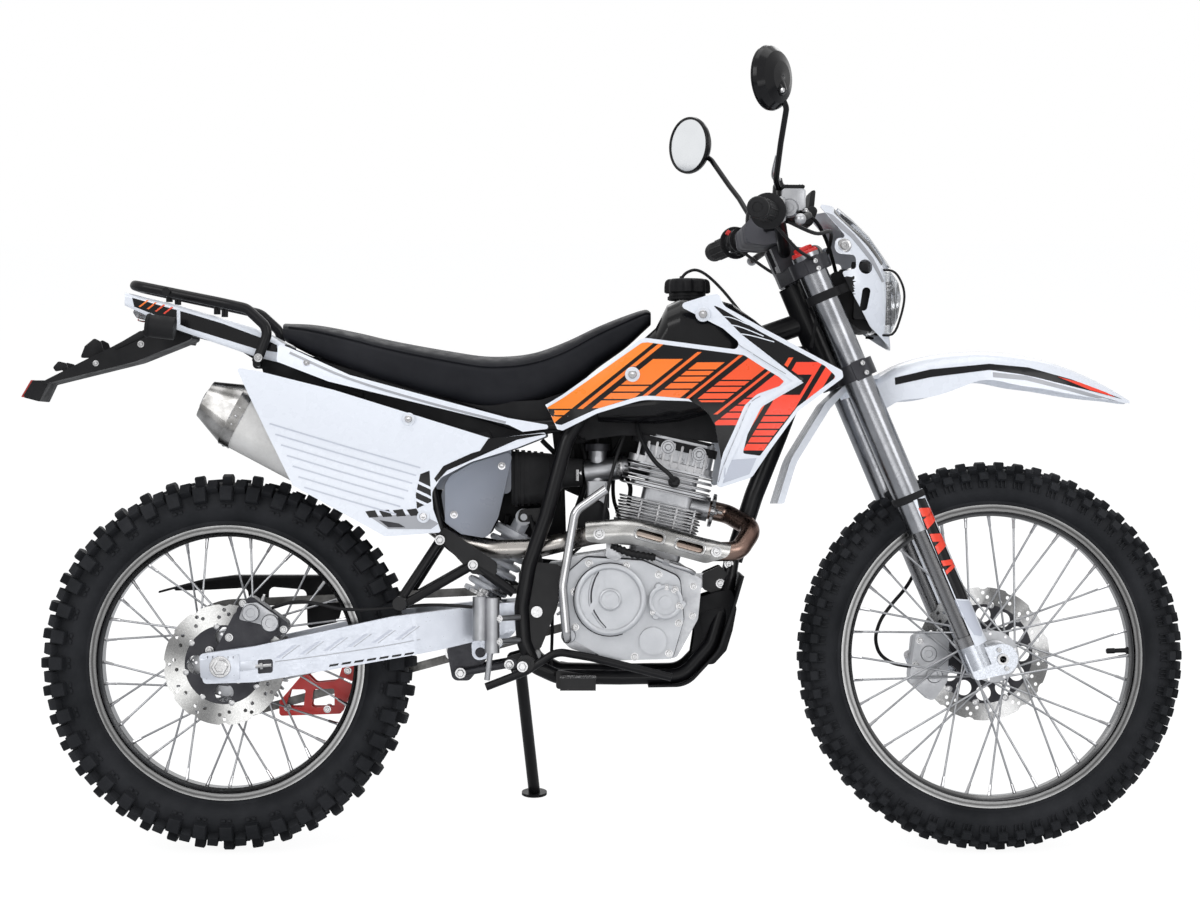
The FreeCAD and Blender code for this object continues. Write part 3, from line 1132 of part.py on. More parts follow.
# ---------------------------------------------------------------- small pieces
def make_controls():
    peg = Part.makeBox(62, 58, 22, Vector(596, 106, 300))
    peg = peg.cut([Part.makeBox(20, 42, 40, Vector(x, 114, 290)) for x in (602, 632)])
    peg = peg.cut([Part.makeBox(80, 5, 6, Vector(590, 110 + 11 * k, 317)) for k in range(5)])
    arm = plate([(588, 332, 6), (650, 322, 8), (650, 298, 8), (588, 298, 6)], 98, 107)
    upper = rod((384, 97.2, 560), (318, 138, 458), 8)
    lower = rod((442, 97.2, 516), (326, 138, 450), 8)
    bar_end = rod((318, 126, 452), (318, 180, 452), 12)
    heads = [rod((384, 97.2, 560), (384, 108, 560), 9), rod((442, 97.2, 516), (442, 108, 516), 9)]
    keep = Part.makeBox(200, 120, 200, Vector(270, 97.2, 400))
    stay = fused([upper, lower, bar_end] + heads).common(keep)
    pegs = both_sides(Part.Compound([peg.fuse(arm), stay]))
    node("foot_pegs", feature("peg_set", pegs), ROOT)
    x, z = PEDAL_BOLT
    pedal = bar([(466, -134, 304), (x, -134, z - 14, 30), (590, -134, 366, 40),
                 (650, -140, 356, 40), (790, -150, 322)], 7)
    eye = rod((x, -122, z), (x, -142, z), 15)
    arm = fused([pedal, eye]).cut(rod((x, -90, z), (x, -160, z), 8 + mm.seat_gap))
    shift = bar([(700, 92.2, 366), (700, 128, 366, 10), (760, 134, 366, 40), (800, 134, 352)], 6)
    node("foot_controls", feature("pedal_and_lever", Part.Compound([arm, shift])), ROOT)
    kick = bar([(608, -122.2, 388), (608, -158, 388, 14), (600, -160, 480, 60),
                (622, -160, 612, 30), (676, -160, 650)], 8)
    node("kick_starter", feature("kick_bar", kick), ROOT)


def make_rear_brake():
    disc_at = -mm.rear_disc_place
    height = REAR_AXLE_HEIGHT
    fit = mm.seat_gap
    rows = [(18, 396, 8), (26, 440, 10), (50, 462, 10), (118, 412, 10), (108, 392, 10),
            (70, 388, 8)]
    body = plate(rows, disc_at - 26, disc_at + 19)
    piston = [rod((x, disc_at - 25, z), (x, disc_at - 32, z), 13) for x, z in ((52, 432), (86, 414))]
    body = fused([body] + piston)
    carrier = plate([(-20, height + 12, 10), (24, 436, 10), (104, 402, 10), (22, height - 16, 10),
                     (-14, height - 18, 10)], -95.7, -88)
    slot = rod((0, disc_at - 4, height), (0, disc_at + 4, height), mm.rear_disc_radius + 4)
    spindle = rod((0, -100, height), (0, -80, height), 16 + fit)
    node("rear_caliper", feature("rear_caliper_body", body.fuse(carrier).cut([slot, spindle])),
         ROOT)
    tall = rod((456, -142, 386), (456, -142, 462), 13)
    thin = rod((477, -142, 364), (477, -142, 460), 13)
    push = rod((474, -142, 364), (468, -137, 316.5), 5)
    ears = [rod((489, -142, z), (523, -106, z), 5) for z in (384, 424)]
    clear = rod((527, -94, 440), (531, -94, 380), mm.tube_radius + fit)
    node("rear_master_cylinder", feature("rear_master", fused([tall, thin, push] + ears).cut(clear)),
         ROOT)
    low = Vector(SHOCK_LOW[0], 0, SHOCK_LOW[1])
    top = Vector(SHOCK_TOP[0], 0, SHOCK_TOP[1])
    axis = (top - low).normalize()
    length = (top - low).Length
    parts = [Part.makeCylinder(22, length - 138, low + axis * 112, axis),
             Part.makeCylinder(9, 110, low + axis * 8, axis)]
    parts += [Part.makeCylinder(38, 7, low + axis * place, axis) for place in (112, length - 36)]
    parts += [Part.makeTorus(33, 5.5, low + axis * (132 + 17 * k), axis) for k in range(7)]
    parts += [Part.makeCylinder(15, 20, low + axis * (length - 30), axis)]
    parts += [rod((p.x, -18, p.z), (p.x, 18, p.z), 15) for p in (top, low)]
    holes = [rod((p.x, -30, p.z), (p.x, 30, p.z), 6 + fit) for p in (top, low)]
    cores = [Part.makeCylinder(28, 10, low + axis * (126 + 17 * k), axis) for k in range(7)]
    bolt = rod((top.x, -23, top.z), (top.x, 23, top.z), 6)
    shock = fused(parts + cores).cut(holes)
    node("shock_absorber", feature("shock_unit", Part.Compound([shock, bolt])), ROOT)
    rows = [(390, 368, 12), (420, 374, 12), (464, 366, 12), (464, 346, 12), (432, 306, 12),
            (402, 306, 12)]
    cheeks = [plate(rows, side * (18 + fit), side * 25) for side in (1, -1)]
    pins = [rod((417, -44, 321), (417, 44, 321), 9),
            rod((ROCKER_BOLT[0], -36, ROCKER_BOLT[1]), (ROCKER_BOLT[0], 36, ROCKER_BOLT[1]), 9),
            rod((low.x, -25, low.z), (low.x, 25, low.z), 6),
            rod((LINK_BOLT[0], -52, LINK_BOLT[1]), (LINK_BOLT[0], 52, LINK_BOLT[1]), 9)]
    links = [rod((417, side * 38, 321), (LINK_BOLT[0], side * 38, LINK_BOLT[1]), 7)
             for side in (1, -1)]
    node("suspension_linkage", feature("linkage", fused(cheeks + pins + links)), ROOT)


def make_chain_cover():
    line = mm.chain_line
    top_strip = plate([(-136, 462, 3), (-60, 482, 20), (0, 490, 30), (190, 490, 10), (190, 486, 2),
                       (0, 486, 30), (-60, 478, 20), (-136, 458, 3)], line - 14, 100)
    cheek = plate([(-136, 460, 3), (-60, 480, 20), (0, 488, 30), (190, 488, 10), (200, 452, 10),
                   (186, 403, 6), (130, 391, 6), (128, 462, 10), (60, 468, 10), (56, 376, 6),
                   (34, 370.5, 6), (20, 466, 10), (-50, 462, 10)], 97, 100)
    node("chain_guard", feature("guard_shell", top_strip.fuse(cheek)), ROOT)
    rows = [(84, 262, 6), (130, 316, 8), (150, 296, 10), (190, 300, 10), (200, 331, 2),
            (228, 336, 2), (222, 300, 10), (196, 240, 6), (84, 236, 6)]
    cheeks = [plate(rows, place, place + 6) for place in (line - 20, line + 14)]
    bridge = plate([(200, 325), (200, 333.5), (226, 338), (226, 328)], line - 20, 118)
    windows = [plate(window, line - 30, line + 30) for window in (
        [(96, 252, 4), (104, 284, 4), (132, 284, 4), (128, 252, 4)],
        [(142, 252, 4), (146, 284, 4), (184, 286, 4), (184, 252, 4)])]
    guide = fused(cheeks + [bridge]).cut(windows)
    node("chain_guide", feature("guide_cheeks", guide), ROOT)
    outline = strip_rows(SKID_PATH, mm.tube_radius + 0.4, mm.tube_radius + 4.4)
    outer = plate(outline, -95, 95)
    node("skid_plate", feature("skid_shell", outer), ROOT)
    bowl = slab([(640, -24, 8), (682, -24, 8), (682, 24, 8), (640, 24, 8)], 614, 662)
    carb = fused([rod((661, 0, 604), (661, 0, 620), 10), bowl, rod((661, 0, 650), (661, 0, 718), 16.4),
                  rod((661, 0, 716), (661, 0, 729), 22), rod((637.5, 0, 678.4), (716, 0, 688), 21),
                  rod((662, -12, 702), (662, -36, 702), 6), rod((662, -20, 640), (662, -34, 640), 9)])
    inlet_face = Part.makeBox(100, 100, 100, Vector(0, -50, -50))
    inlet_face.Placement = HEAD_PLACE * Placement(Vector(-78.2, 0, 150), Rotation())
    node("carburettor", feature("carburettor_body", carb.cut(inlet_face)), ROOT)


def make_front_brake():
    place = mm.front_disc_place
    height = FRONT_AXLE_HEIGHT
    rows = [(1226, 300, 10), (1240, 392, 12), (1300, 384, 10), (1296, 300, 10), (1268, 262, 10)]
    ear_rows = [(1228, 304, 8), (1236, 384, 8), (1262, 384, 8), (1258, 304, 8)]
    bracket = mm.fork_half_width - 17 - mm.seat_gap
    body = plate(rows, place - 22, place + 14.5).fuse(plate(ear_rows, place + 14.5, bracket))
    slot = rod((DRAWN_WHEELBASE, place - 4, height), (DRAWN_WHEELBASE, place + 4, height),
               mm.front_disc_radius + 4)
    node("front_caliper", feature("front_caliper_body", body.cut(slot)), STEER)


# ---------------------------------------------------------------- hoses
FRONT_HOSE = [(16.5, -205.8, 865.5), (19, -174, 866), (45, -136, 861), (72, -92, 838),
              (83, -44, 798), (83, 0, 745), (78, 40, 684), (75, 74, 620), (77, 99, 548),
              (70, 108, 470), (71, 104, 385), (69, 106, 300), (62, 124, 242), (40, 143, 196),
              (2, 149, 160), (-42, 134, 142), (-76, 116, 125), (-100, 98, 100), (-106, 82, 72),
              (-92, 70, 48), (-66.8, 62, 32.5)]
REAR_HOSE = [(442.5, -142, 444), (418, -140, 446), (390, -130, 447), (355, -114, 446),
             (308, -106, 441), (255, -105, 437), (208, -104, 438), (168, -97, 448),
             (128, -84, 452), (85.1, -70, 438.5)]


def make_hoses():
    node("front_brake_hose", feature("front_hose", cord(FRONT_HOSE, 3.3)), FORK)
    node("rear_brake_hose", feature("rear_hose", cord(REAR_HOSE, 3.0)), ROOT)


# ---------------------------------------------------------------- side stand
def make_side_stand():
    top = Vector(*STAND_TOP)
    foot = Vector(*STAND_FOOT)
    eye = rod(tuple(top - STAND_AXIS * 15), tuple(top + STAND_AXIS * 15), 15)
    hole = rod(tuple(top - STAND_AXIS * 40), tuple(top + STAND_AXIS * 40), 6.1)
    leg = rod(tuple(top), tuple(foot), mm.stand_radius)
    pad_shape = Part.makeCylinder(24, 5)
    ground = foot.y * math.tan(LEAN)
    pad_shape.Placement = Placement(Vector(foot.x, foot.y, ground),
                                    Rotation(Vector(1, 0, 0), mm.lean_angle))
    below = Part.makeBox(80, 80, 30, Vector(-40, -40, -30))
    below.Placement = pad_shape.Placement
    node("side_stand", feature("stand_leg", fused([leg, eye, pad_shape]).cut([hole, below])), ROOT)


def write_parts():
    doc.recompute()
    os.makedirs("parts", exist_ok=True)
    for item in doc.Objects:
        if "Invalid" in item.State or "Error" in item.State:
            raise RuntimeError("%s is %s" % (item.Label, item.State))
    bad = [item.Label for item in nodes if item.Shape.isNull() or not item.Shape.isValid()]
    if bad:
        raise RuntimeError("bad shapes: %s" % ", ".join(bad))
    for item in nodes:
        item.Shape.exportStep("parts/%s.step" % item.Label)
        print(item.Label, len(item.Shape.Solids), round(item.Shape.Volume / 1000, 1), "cm3")


make_wheels()
make_main_frame()
make_subframe()
make_engine()
make_chain()
make_swingarm()
make_axles()
make_fork()
make_handlebar()
make_front_panels()
make_tank_and_seat()
make_side_panels()
make_rear_panels()
make_exhaust()
make_controls()
make_rear_brake()
make_chain_cover()
make_front_brake()
make_hoses()
make_side_stand()
write_parts()
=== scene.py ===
"""Looks of the enduro motorcycle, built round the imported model.

Pieces are drawn in millimetres in the upright bike's own frame (X forward from the rear axle, Y to
the left, Z up), in the fork's frame or in a wheel's. A matrix then carries them to their place.
"""
import math

import bmesh
import bpy
from mathutils import Matrix, Vector
from mathutils.bvhtree import BVHTree


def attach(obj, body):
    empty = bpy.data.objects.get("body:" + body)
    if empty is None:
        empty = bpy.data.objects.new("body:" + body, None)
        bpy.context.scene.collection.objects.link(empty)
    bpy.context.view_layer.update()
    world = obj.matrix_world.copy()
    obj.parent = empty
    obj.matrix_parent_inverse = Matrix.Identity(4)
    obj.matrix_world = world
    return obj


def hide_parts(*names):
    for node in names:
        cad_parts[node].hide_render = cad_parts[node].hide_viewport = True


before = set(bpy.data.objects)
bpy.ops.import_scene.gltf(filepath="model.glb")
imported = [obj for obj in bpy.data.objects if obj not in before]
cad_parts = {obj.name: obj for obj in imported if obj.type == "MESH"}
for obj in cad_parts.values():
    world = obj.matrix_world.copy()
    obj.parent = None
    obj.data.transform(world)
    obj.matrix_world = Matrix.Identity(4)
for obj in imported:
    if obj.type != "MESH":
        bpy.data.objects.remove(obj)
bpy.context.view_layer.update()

# ------------------------------------------------------------------ frames
MM = 0.001
LEAN = math.radians(11)
RAKE = math.radians(-23)
TURN = math.radians(3)
ORIGIN = Vector((676, 225, 0))
FRONT_AXLE = Vector((1365, 0, 348.86))
REAR_AXLE = Vector((0, 0, 338.03))
FORK_OFFSET = 67  # from the steering axis forward to the front axle
FORK_HALF = 105  # from the steering axis out to a fork leg

BIKE = Matrix.Scale(MM, 4) @ Matrix.Translation(-ORIGIN) @ Matrix.Rotation(-LEAN, 4, "X")
TILT = Matrix.Rotation(RAKE, 4, "Y")
FORK_FOOT = FRONT_AXLE - TILT @ Vector((FORK_OFFSET, 0, 0))
FORK = BIKE @ Matrix.Translation(FORK_FOOT) @ TILT @ Matrix.Rotation(TURN, 4, "Z")
STEER = FORK @ TILT.inverted() @ Matrix.Translation(-FORK_FOOT)

# the body that a piece rides on, and the frame that it is drawn in
ON_BIKE = ("root", BIKE)
ON_BARS = ("steering", STEER)
ON_FORK = ("steering", FORK)
ON_FRONT_WHEEL = ("front_wheel", STEER @ Matrix.Translation(FRONT_AXLE))
ON_REAR_WHEEL = ("rear_wheel", BIKE @ Matrix.Translation(REAR_AXLE))

# the engine's head and barrel lean forward in the bike's frame
HEAD = Matrix.Translation((762, 0, 529.1)) @ Matrix.Rotation(math.radians(13), 4, "Y")
# the silencer, from its rear rim towards the engine
CAN_FALL = math.radians(28)
CAN_END = Vector((20, -90, 782))
CAN_HEADING = Vector((math.cos(CAN_FALL), 0, -math.sin(CAN_FALL)))

SIDES = (-1, 1)
FORWARD, LEFT, RIGHT, UP, DOWN = (1, 0, 0), (0, 1, 0), (0, -1, 0), (0, 0, 1), (0, 0, -1)


# ------------------------------------------------------------------ materials
class Nodes:
    """A small helper that builds one procedural material."""

    def __init__(self, name, base, rough=0.5, metal=0.0, coat=0.0, coat_rough=0.1):
        self.material = bpy.data.materials.new(name)
        self.material.use_nodes = True
        self.material.diffuse_color = (*base, 1)
        self.tree = self.material.node_tree
        self.shader = self.tree.nodes["Principled BSDF"]
        settings = {"Base Color": (*base, 1), "Roughness": rough, "Metallic": metal,
                    "Coat Weight": coat, "Coat Roughness": coat_rough}
        if max(base) < 0.1:
            settings["Specular IOR Level"] = 0.12
        self.put(self.shader, settings)
        self.height = None

    @staticmethod
    def put(node, settings):
        for key, value in settings.items():
            if key in node.inputs:
                node.inputs[key].default_value = value
            else:
                setattr(node, key, value)

    def add(self, kind, **settings):
        node = self.tree.nodes.new(kind)
        self.put(node, settings)
        return node

    def link(self, source, target):
        self.tree.links.new(source, target)

    def mapped(self, **settings):
        where = self.add("ShaderNodeTexCoord")
        mapping = self.add("ShaderNodeMapping", **settings)
        self.link(where.outputs["Object"], mapping.inputs["Vector"])
        return mapping.outputs["Vector"]

    def local(self, matrix):
        """Millimetres in one of the drawing frames."""
        place, turn, size = matrix.inverted().decompose()
        return self.mapped(Location=place, Rotation=turn.to_euler(), Scale=size)

    def axis(self, vector, name):
        split = self.add("ShaderNodeSeparateXYZ")
        self.link(vector, split.inputs["Vector"])
        return split.outputs[name]

    def math(self, operation, *values):
        node = self.add("ShaderNodeMath", operation=operation)
        for slot, value in enumerate(values):
            if isinstance(value, (int, float)):
                node.inputs[slot].default_value = value
            else:
                self.link(value, node.inputs[slot])
        return node.outputs["Value"]

    def from_axle(self, matrix):
        """Distance from a wheel's axle and the angle round it."""
        split = self.add("ShaderNodeSeparateXYZ")
        self.link(self.local(matrix), split.inputs["Vector"])
        x, z = split.outputs["X"], split.outputs["Z"]
        square = self.math("ADD", self.math("MULTIPLY", x, x), self.math("MULTIPLY", z, z))
        return self.math("SQRT", square), self.math("ARCTAN2", z, x)

    def noise(self, scale, detail=3.0, stretch=(1, 1, 1)):
        node = self.add("ShaderNodeTexNoise", Scale=scale, Detail=detail)
        self.link(self.mapped(Scale=stretch), node.inputs["Vector"])
        return node.outputs["Fac"]

    def cells(self, scale):
        node = self.add("ShaderNodeTexVoronoi", Scale=scale, feature="DISTANCE_TO_EDGE")
        self.link(self.mapped(), node.inputs["Vector"])
        return node.outputs["Distance"]

    def spread(self, fac, low, high, start=0.3, end=0.7):
        node = self.add("ShaderNodeMapRange",
                        **{"From Min": start, "From Max": end, "To Min": low, "To Max": high})
        self.link(fac, node.inputs["Value"])
        return node.outputs["Result"]

    def tint(self, fac, first, second, start=0.35, end=0.65, between=()):
        """Base colour from first to second, with (place, colour) stops between them."""
        ramp = self.add("ShaderNodeValToRGB")
        stops = ramp.color_ramp.elements
        for stop, at, colour in ((stops[0], start, first), (stops[1], end, second)):
            stop.color = (*colour, 1)
            stop.position = at
        for at, colour in between:
            stops.new(at).color = (*colour, 1)
        self.link(fac, ramp.inputs["Fac"])
        self.link(ramp.outputs["Color"], self.shader.inputs["Base Color"])

    def rough(self, fac, low, high):
        self.link(self.spread(fac, low, high), self.shader.inputs["Roughness"])

    def bump(self, fac, distance, strength=1.0):
        node = self.add("ShaderNodeBump", Strength=strength, Distance=distance)
        self.link(fac, node.inputs["Height"])
        if self.height is not None:
            self.link(self.height, node.inputs["Normal"])
        self.height = node.outputs["Normal"]
        self.link(self.height, self.shader.inputs["Normal"])


def plastic(name, base, second, rough=0.3, coat=0.4, grain=0.00001, scale=900):
    look = Nodes(name, base, rough, coat=coat, coat_rough=0.12)
    look.tint(look.noise(7, 4), base, second)
    look.rough(look.noise(40, 5), rough * 0.85, rough * 1.3)
    look.bump(look.noise(scale, 3), grain, 0.35)
    return look.material


def metal(name, base, second, rough, stretch=(1, 1, 1), scale=300, grain=0.00002, metallic=1.0):
    look = Nodes(name, base, rough, metallic)
    fine = look.noise(scale, 6, stretch)
    look.tint(look.noise(26, 5), base, second)
    look.rough(fine, rough * 0.8, rough * 1.3)
    look.bump(fine, grain, 0.4)
    return look.material


def rubber(name, base, second, rough, scale, grain):
    look = Nodes(name, base, rough)
    look.tint(look.noise(14, 6), base, second)
    look.rough(look.noise(55, 4), rough * 0.9, min(1, rough * 1.15))
    look.bump(look.noise(scale, 5), grain, 0.6)
    return look.material


def clear(name, base, rough=0.03, weight=0.9):
    look = Nodes(name, base, rough)
    look.put(look.shader, {"Transmission Weight": weight, "IOR": 1.49})
    look.bump(look.noise(30, 2), 0.00005, 0.1)
    return look.material


def vinyl(name):
    look = Nodes(name, (0.016, 0.016, 0.018), 0.5)
    look.tint(look.noise(9, 5), (0.008, 0.0085, 0.011), (0.015, 0.0155, 0.019))
    look.rough(look.noise(70, 4), 0.42, 0.62)
    look.bump(look.cells(620), 0.00012, 0.55)
    look.bump(look.noise(1500, 2), 0.00003, 0.5)
    return look.material


def heated_steel(name):
    """Header steel, brown where it leaves the head."""
    look = Nodes(name, (0.36, 0.33, 0.30), 0.28, 1.0)
    share = look.spread(look.axis(look.local(BIKE), "X"), 0, 1, 560, 950)
    look.tint(share, (0.38, 0.36, 0.34), (0.17, 0.10, 0.08), 0.1, 1.0, [(0.55, (0.33, 0.27, 0.23))])
    look.rough(look.noise(60, 5), 0.22, 0.34)
    look.bump(look.noise(40, 2), 0.00003, 0.2)
    return look.material


def banded(name, place, low, high, reflection_bands):
    """Rolled rim steel with painted reflection bands: rings of darker and lighter base colour, given at
    distances from the axle, that follow its section.
    """
    look = Nodes(name, (0.46, 0.46, 0.47), 0.18, 1.0)
    away, _ = look.from_axle(place[1])
    share = look.math("ADD", away, look.math("MULTIPLY", look.noise(30, 4), 3.0))
    between = [((at - low) / (high - low), (shade, shade, blue)) for at, shade, blue in reflection_bands]
    look.tint(look.spread(share, 0, 1, low, high), (0.46, 0.46, 0.47), (0.30, 0.30, 0.30), 0, 1, between)
    fine = look.noise(300, 5)
    look.rough(fine, 0.18 * 0.8, 0.18 * 1.3)
    look.bump(fine, 0.00001, 0.3)
    return look.material


def turned(name, place, dark, light):
    """Disc steel ground in circles, with painted reflections: four bright and four dark fans round its axle
    laid into its base colour, over faint grinding rings.
    """
    look = Nodes(name, light, 0.3, 1.0)
    away, angle = look.from_axle(place[1])
    # painted reflection fans, bright and dark by the angle round the axle
    reflection_fans = look.math("SINE", look.math("MULTIPLY", angle, 4))
    fine = look.math("SINE", look.math("MULTIPLY", away, 5.0))
    total = look.math("ADD", look.math("MULTIPLY", reflection_fans, 0.42), look.math("MULTIPLY", fine, 0.08))
    look.tint(look.math("ADD", total, 0.5), dark, light, 0.05, 0.95)
    look.rough(look.noise(300, 5), 0.24, 0.36)
    look.bump(look.spread(fine, 0, 1, -1, 1), 0.00002, 0.3)
    return look.material


def smooth_cover(name):
    """The grey side cover, with a painted highlight that makes it paler towards its rear upper edge and
    painted shade that darkens it towards the front and the bottom.
    """
    look = Nodes(name, (0.16, 0.18, 0.22), 0.3, coat=0.3)
    place = look.local(BIKE)
    height = look.math("MULTIPLY", look.axis(place, "Z"), 0.5)
    across = look.math("SUBTRACT", look.axis(place, "X"), height)
    look.tint(look.spread(across, 0, 1, 30, 200), (0.36, 0.40, 0.49), (0.09, 0.10, 0.125), 0.05, 0.95)
    look.rough(look.noise(50, 5), 0.26, 0.38)
    look.bump(look.noise(500, 3), 0.00002, 0.35)
    return look.material


def chromed_leg(name):
    """Chromed tube with painted reflection bands, dark along its middle, and a painted highlight along its
    front, on a silver foot.
    """
    look = Nodes(name, (0.3, 0.3, 0.31), 0.26, 1.0)
    place = look.local(FORK)
    foot = look.math("LESS_THAN", look.axis(place, "Z"), 44)
    share = look.math("ADD", look.spread(look.axis(place, "X"), 0, 0.9, 3, 53), foot)
    # painted reflection bands across the tube from its back to its front, the brightest one a painted
    # highlight
    reflection_bands = ((0.16, 0.30), (0.3, 0.11), (0.5, 0.09), (0.62, 0.2), (0.7, 0.62), (0.78, 0.5), (0.93, 0.4))
    look.tint(share, (0.34, 0.34, 0.35), (0.44, 0.46, 0.50), 0, 1,
              [(at, (shade, shade, shade * 1.03)) for at, shade in reflection_bands])
    fine = look.noise(300, 5)
    look.rough(fine, 0.2, 0.34)
    look.bump(fine, 0.00001, 0.3)
    return look.material


def fade(first, second, share):
    return tuple(a + (b - a) * share for a, b in zip(first, second))


WHITE = plastic("white_panel", (0.80, 0.835, 0.90), (0.79, 0.825, 0.89), 0.26)
GREY = plastic("pale_grey_stripe", (0.36, 0.37, 0.40), (0.33, 0.34, 0.37), 0.34)
PALE = plastic("pale_blue_line", (0.55, 0.58, 0.66), (0.52, 0.55, 0.63), 0.34)
BLACK = plastic("gloss_black", (0.003, 0.003, 0.004), (0.006, 0.006, 0.007), 0.2, 0.2)
RED = plastic("red_print", (0.95, 0.05, 0.015), (0.90, 0.045, 0.013), 0.3, 0.1)
MOULDED = plastic("moulded_black", (0.008, 0.008, 0.009), (0.015, 0.015, 0.016), 0.5, 0.0, 0.00006, 700)
RED_PART = plastic("red_guide", (0.72, 0.022, 0.018), (0.66, 0.02, 0.016), 0.4, 0.1)
FRAME_PAINT = plastic("frame_paint", (0.005, 0.005, 0.006), (0.009, 0.009, 0.010), 0.34, 0.12, 0.00003, 400)
PAD = plastic("grey_pad", (0.085, 0.085, 0.095), (0.07, 0.07, 0.08), 0.62, 0.0, 0.00012, 500)
SPRING = plastic("spring_paint", (0.72, 0.74, 0.78), (0.66, 0.68, 0.72), 0.3)
FLAMES = [plastic("print_%d" % k, fade((1.0, 0.25, 0.008), (0.97, 0.055, 0.016), k / 5),
                  fade((0.96, 0.235, 0.007), (0.93, 0.05, 0.014), k / 5), 0.3, 0.1) for k in range(6)]
# the airbox's grey cover carries a painted highlight towards its rear upper edge and painted shade towards
# the front
AIRBOX = smooth_cover("airbox_grey")
ALLOY = metal("cast_alloy", (0.40, 0.405, 0.42), (0.30, 0.305, 0.32), 0.36, grain=0.00009, scale=420)
FIN = metal("cast_fin", (0.42, 0.42, 0.43), (0.30, 0.30, 0.31), 0.38, grain=0.00012, scale=500)
SILVER = metal("silver_paint", (0.56, 0.585, 0.64), (0.51, 0.535, 0.59), 0.34, metallic=0.65)
COVER = metal("engine_silver", (0.46, 0.47, 0.49), (0.41, 0.42, 0.44), 0.42, scale=800, metallic=0.7)
STEEL = metal("bright_steel", (0.42, 0.42, 0.425), (0.35, 0.35, 0.355), 0.24)
CHROME = metal("polished_steel", (0.44, 0.44, 0.45), (0.34, 0.34, 0.35), 0.14)
# fork legs with painted reflection bands and a painted highlight
LEG = chromed_leg("chromed_leg")
BRUSHED = metal("brushed_steel", (0.42, 0.415, 0.405), (0.24, 0.237, 0.23), 0.26, (1, 1, 14), 46, 0.00001)
TUBE = metal("fork_tube", (0.27, 0.275, 0.29), (0.20, 0.205, 0.22), 0.22, (1, 30, 1), 60)
DARK = metal("dark_alloy", (0.05, 0.05, 0.055), (0.035, 0.035, 0.04), 0.36, metallic=0.6)
CHAIN = metal("chain_steel", (0.13, 0.128, 0.125), (0.06, 0.059, 0.057), 0.36)
CONE = metal("cone_steel", (0.40, 0.395, 0.39), (0.16, 0.157, 0.152), 0.24, (1, 1, 3), 40, 0.00001)
CAN = metal("grained_can", (0.66, 0.655, 0.645), (0.58, 0.575, 0.565), 0.55, grain=0.0004, scale=260,
            metallic=0.4)
MIRROR = metal("mirror_glass", (0.80, 0.82, 0.84), (0.77, 0.79, 0.81), 0.16, grain=0)
# the discs' steel carries painted reflection fans round the axle
DISC_FRONT = turned("front_disc_steel", ON_FRONT_WHEEL, (0.09, 0.09, 0.09), (0.58, 0.58, 0.58))
DISC_REAR = turned("rear_disc_steel", ON_REAR_WHEEL, (0.12, 0.12, 0.12), (0.60, 0.60, 0.59))
# the rims' steel carries painted reflection bands round the axle
RIM_FRONT = banded("front_rim_steel", ON_FRONT_WHEEL, 245, 272,
                   [(249, 0.10, 0.10), (254, 0.16, 0.16), (258, 0.035, 0.037), (263, 0.20, 0.20),
                    (267, 0.05, 0.05)])
RIM_REAR = banded("rear_rim_steel", ON_REAR_WHEEL, 218, 247,
                  [(223, 0.10, 0.10), (229, 0.16, 0.16), (233, 0.035, 0.037), (238, 0.20, 0.20),
                   (242, 0.05, 0.05)])
HEADER = heated_steel("header_steel")
TYRE = rubber("tyre_rubber", (0.012, 0.013, 0.015), (0.022, 0.023, 0.026), 0.62, 260, 0.00012)
RUBBER = rubber("soft_rubber", (0.014, 0.014, 0.015), (0.022, 0.022, 0.023), 0.6, 500, 0.00006)
HOSE = rubber("hose_rubber", (0.012, 0.012, 0.013), (0.02, 0.02, 0.021), 0.42, 900, 0.00003)
VINYL = vinyl("seat_vinyl")
LENS = clear("clear_lens", (0.92, 0.94, 0.96))
SMOKE = clear("smoked_lens", (0.35, 0.36, 0.38), 0.08, 0.75)
REFLECTOR = clear("red_reflector", (0.6, 0.03, 0.02), 0.12, 0.5)
AMBER = clear("amber_lens", (0.75, 0.25, 0.03), 0.15, 0.55)

NODE_LOOKS = {
    FRAME_PAINT: "main_frame subframe luggage_rack side_stand foot_controls handlebar foot_pegs",
    SILVER: "swingarm",
    LEG: "fork_legs",
    TUBE: "fork_tubes",
    COVER: "engine_covers",
    ALLOY: "engine_case cylinder rear_master_cylinder front_caliper rear_caliper front_hub"
           " rear_hub carburettor",
    CHROME: "kick_starter",
    RIM_FRONT: "front_rim",
    RIM_REAR: "rear_rim",
    DISC_FRONT: "front_disc",
    DISC_REAR: "rear_disc",
    CONE: "silencer",
    DARK: "triple_clamps suspension_linkage",
    STEEL: "rear_sprocket rear_axle front_axle shock_absorber",
    BRUSHED: "heat_shield",
    HEADER: "exhaust_pipe",
    CHAIN: "drive_chain",
    WHITE: "side_panels rear_fender front_fender headlight_mask shrouds fork_guards",
    BLACK: "fuel_tank mirrors",
    MOULDED: "fuel_cap plate_holder rear_indicators chain_guard skid_plate bar_controls",
    AIRBOX: "airbox",
    RED_PART: "chain_guide",
    TYRE: "front_tyre rear_tyre",
    RUBBER: "grips intake_boot bar_pad",
    HOSE: "front_brake_hose rear_brake_hose",
    VINYL: "seat",
    LENS: "headlight",
    SMOKE: "tail_light",
}


def smooth_faces(mesh, angle=32):
    shown = bmesh.new()
    shown.from_mesh(mesh)
    for face in shown.faces:
        face.smooth = True
    for edge in shown.edges:
        if len(edge.link_faces) == 2:
            edge.smooth = edge.calc_face_angle(0) < math.radians(angle)
    shown.to_mesh(mesh)
    shown.free()


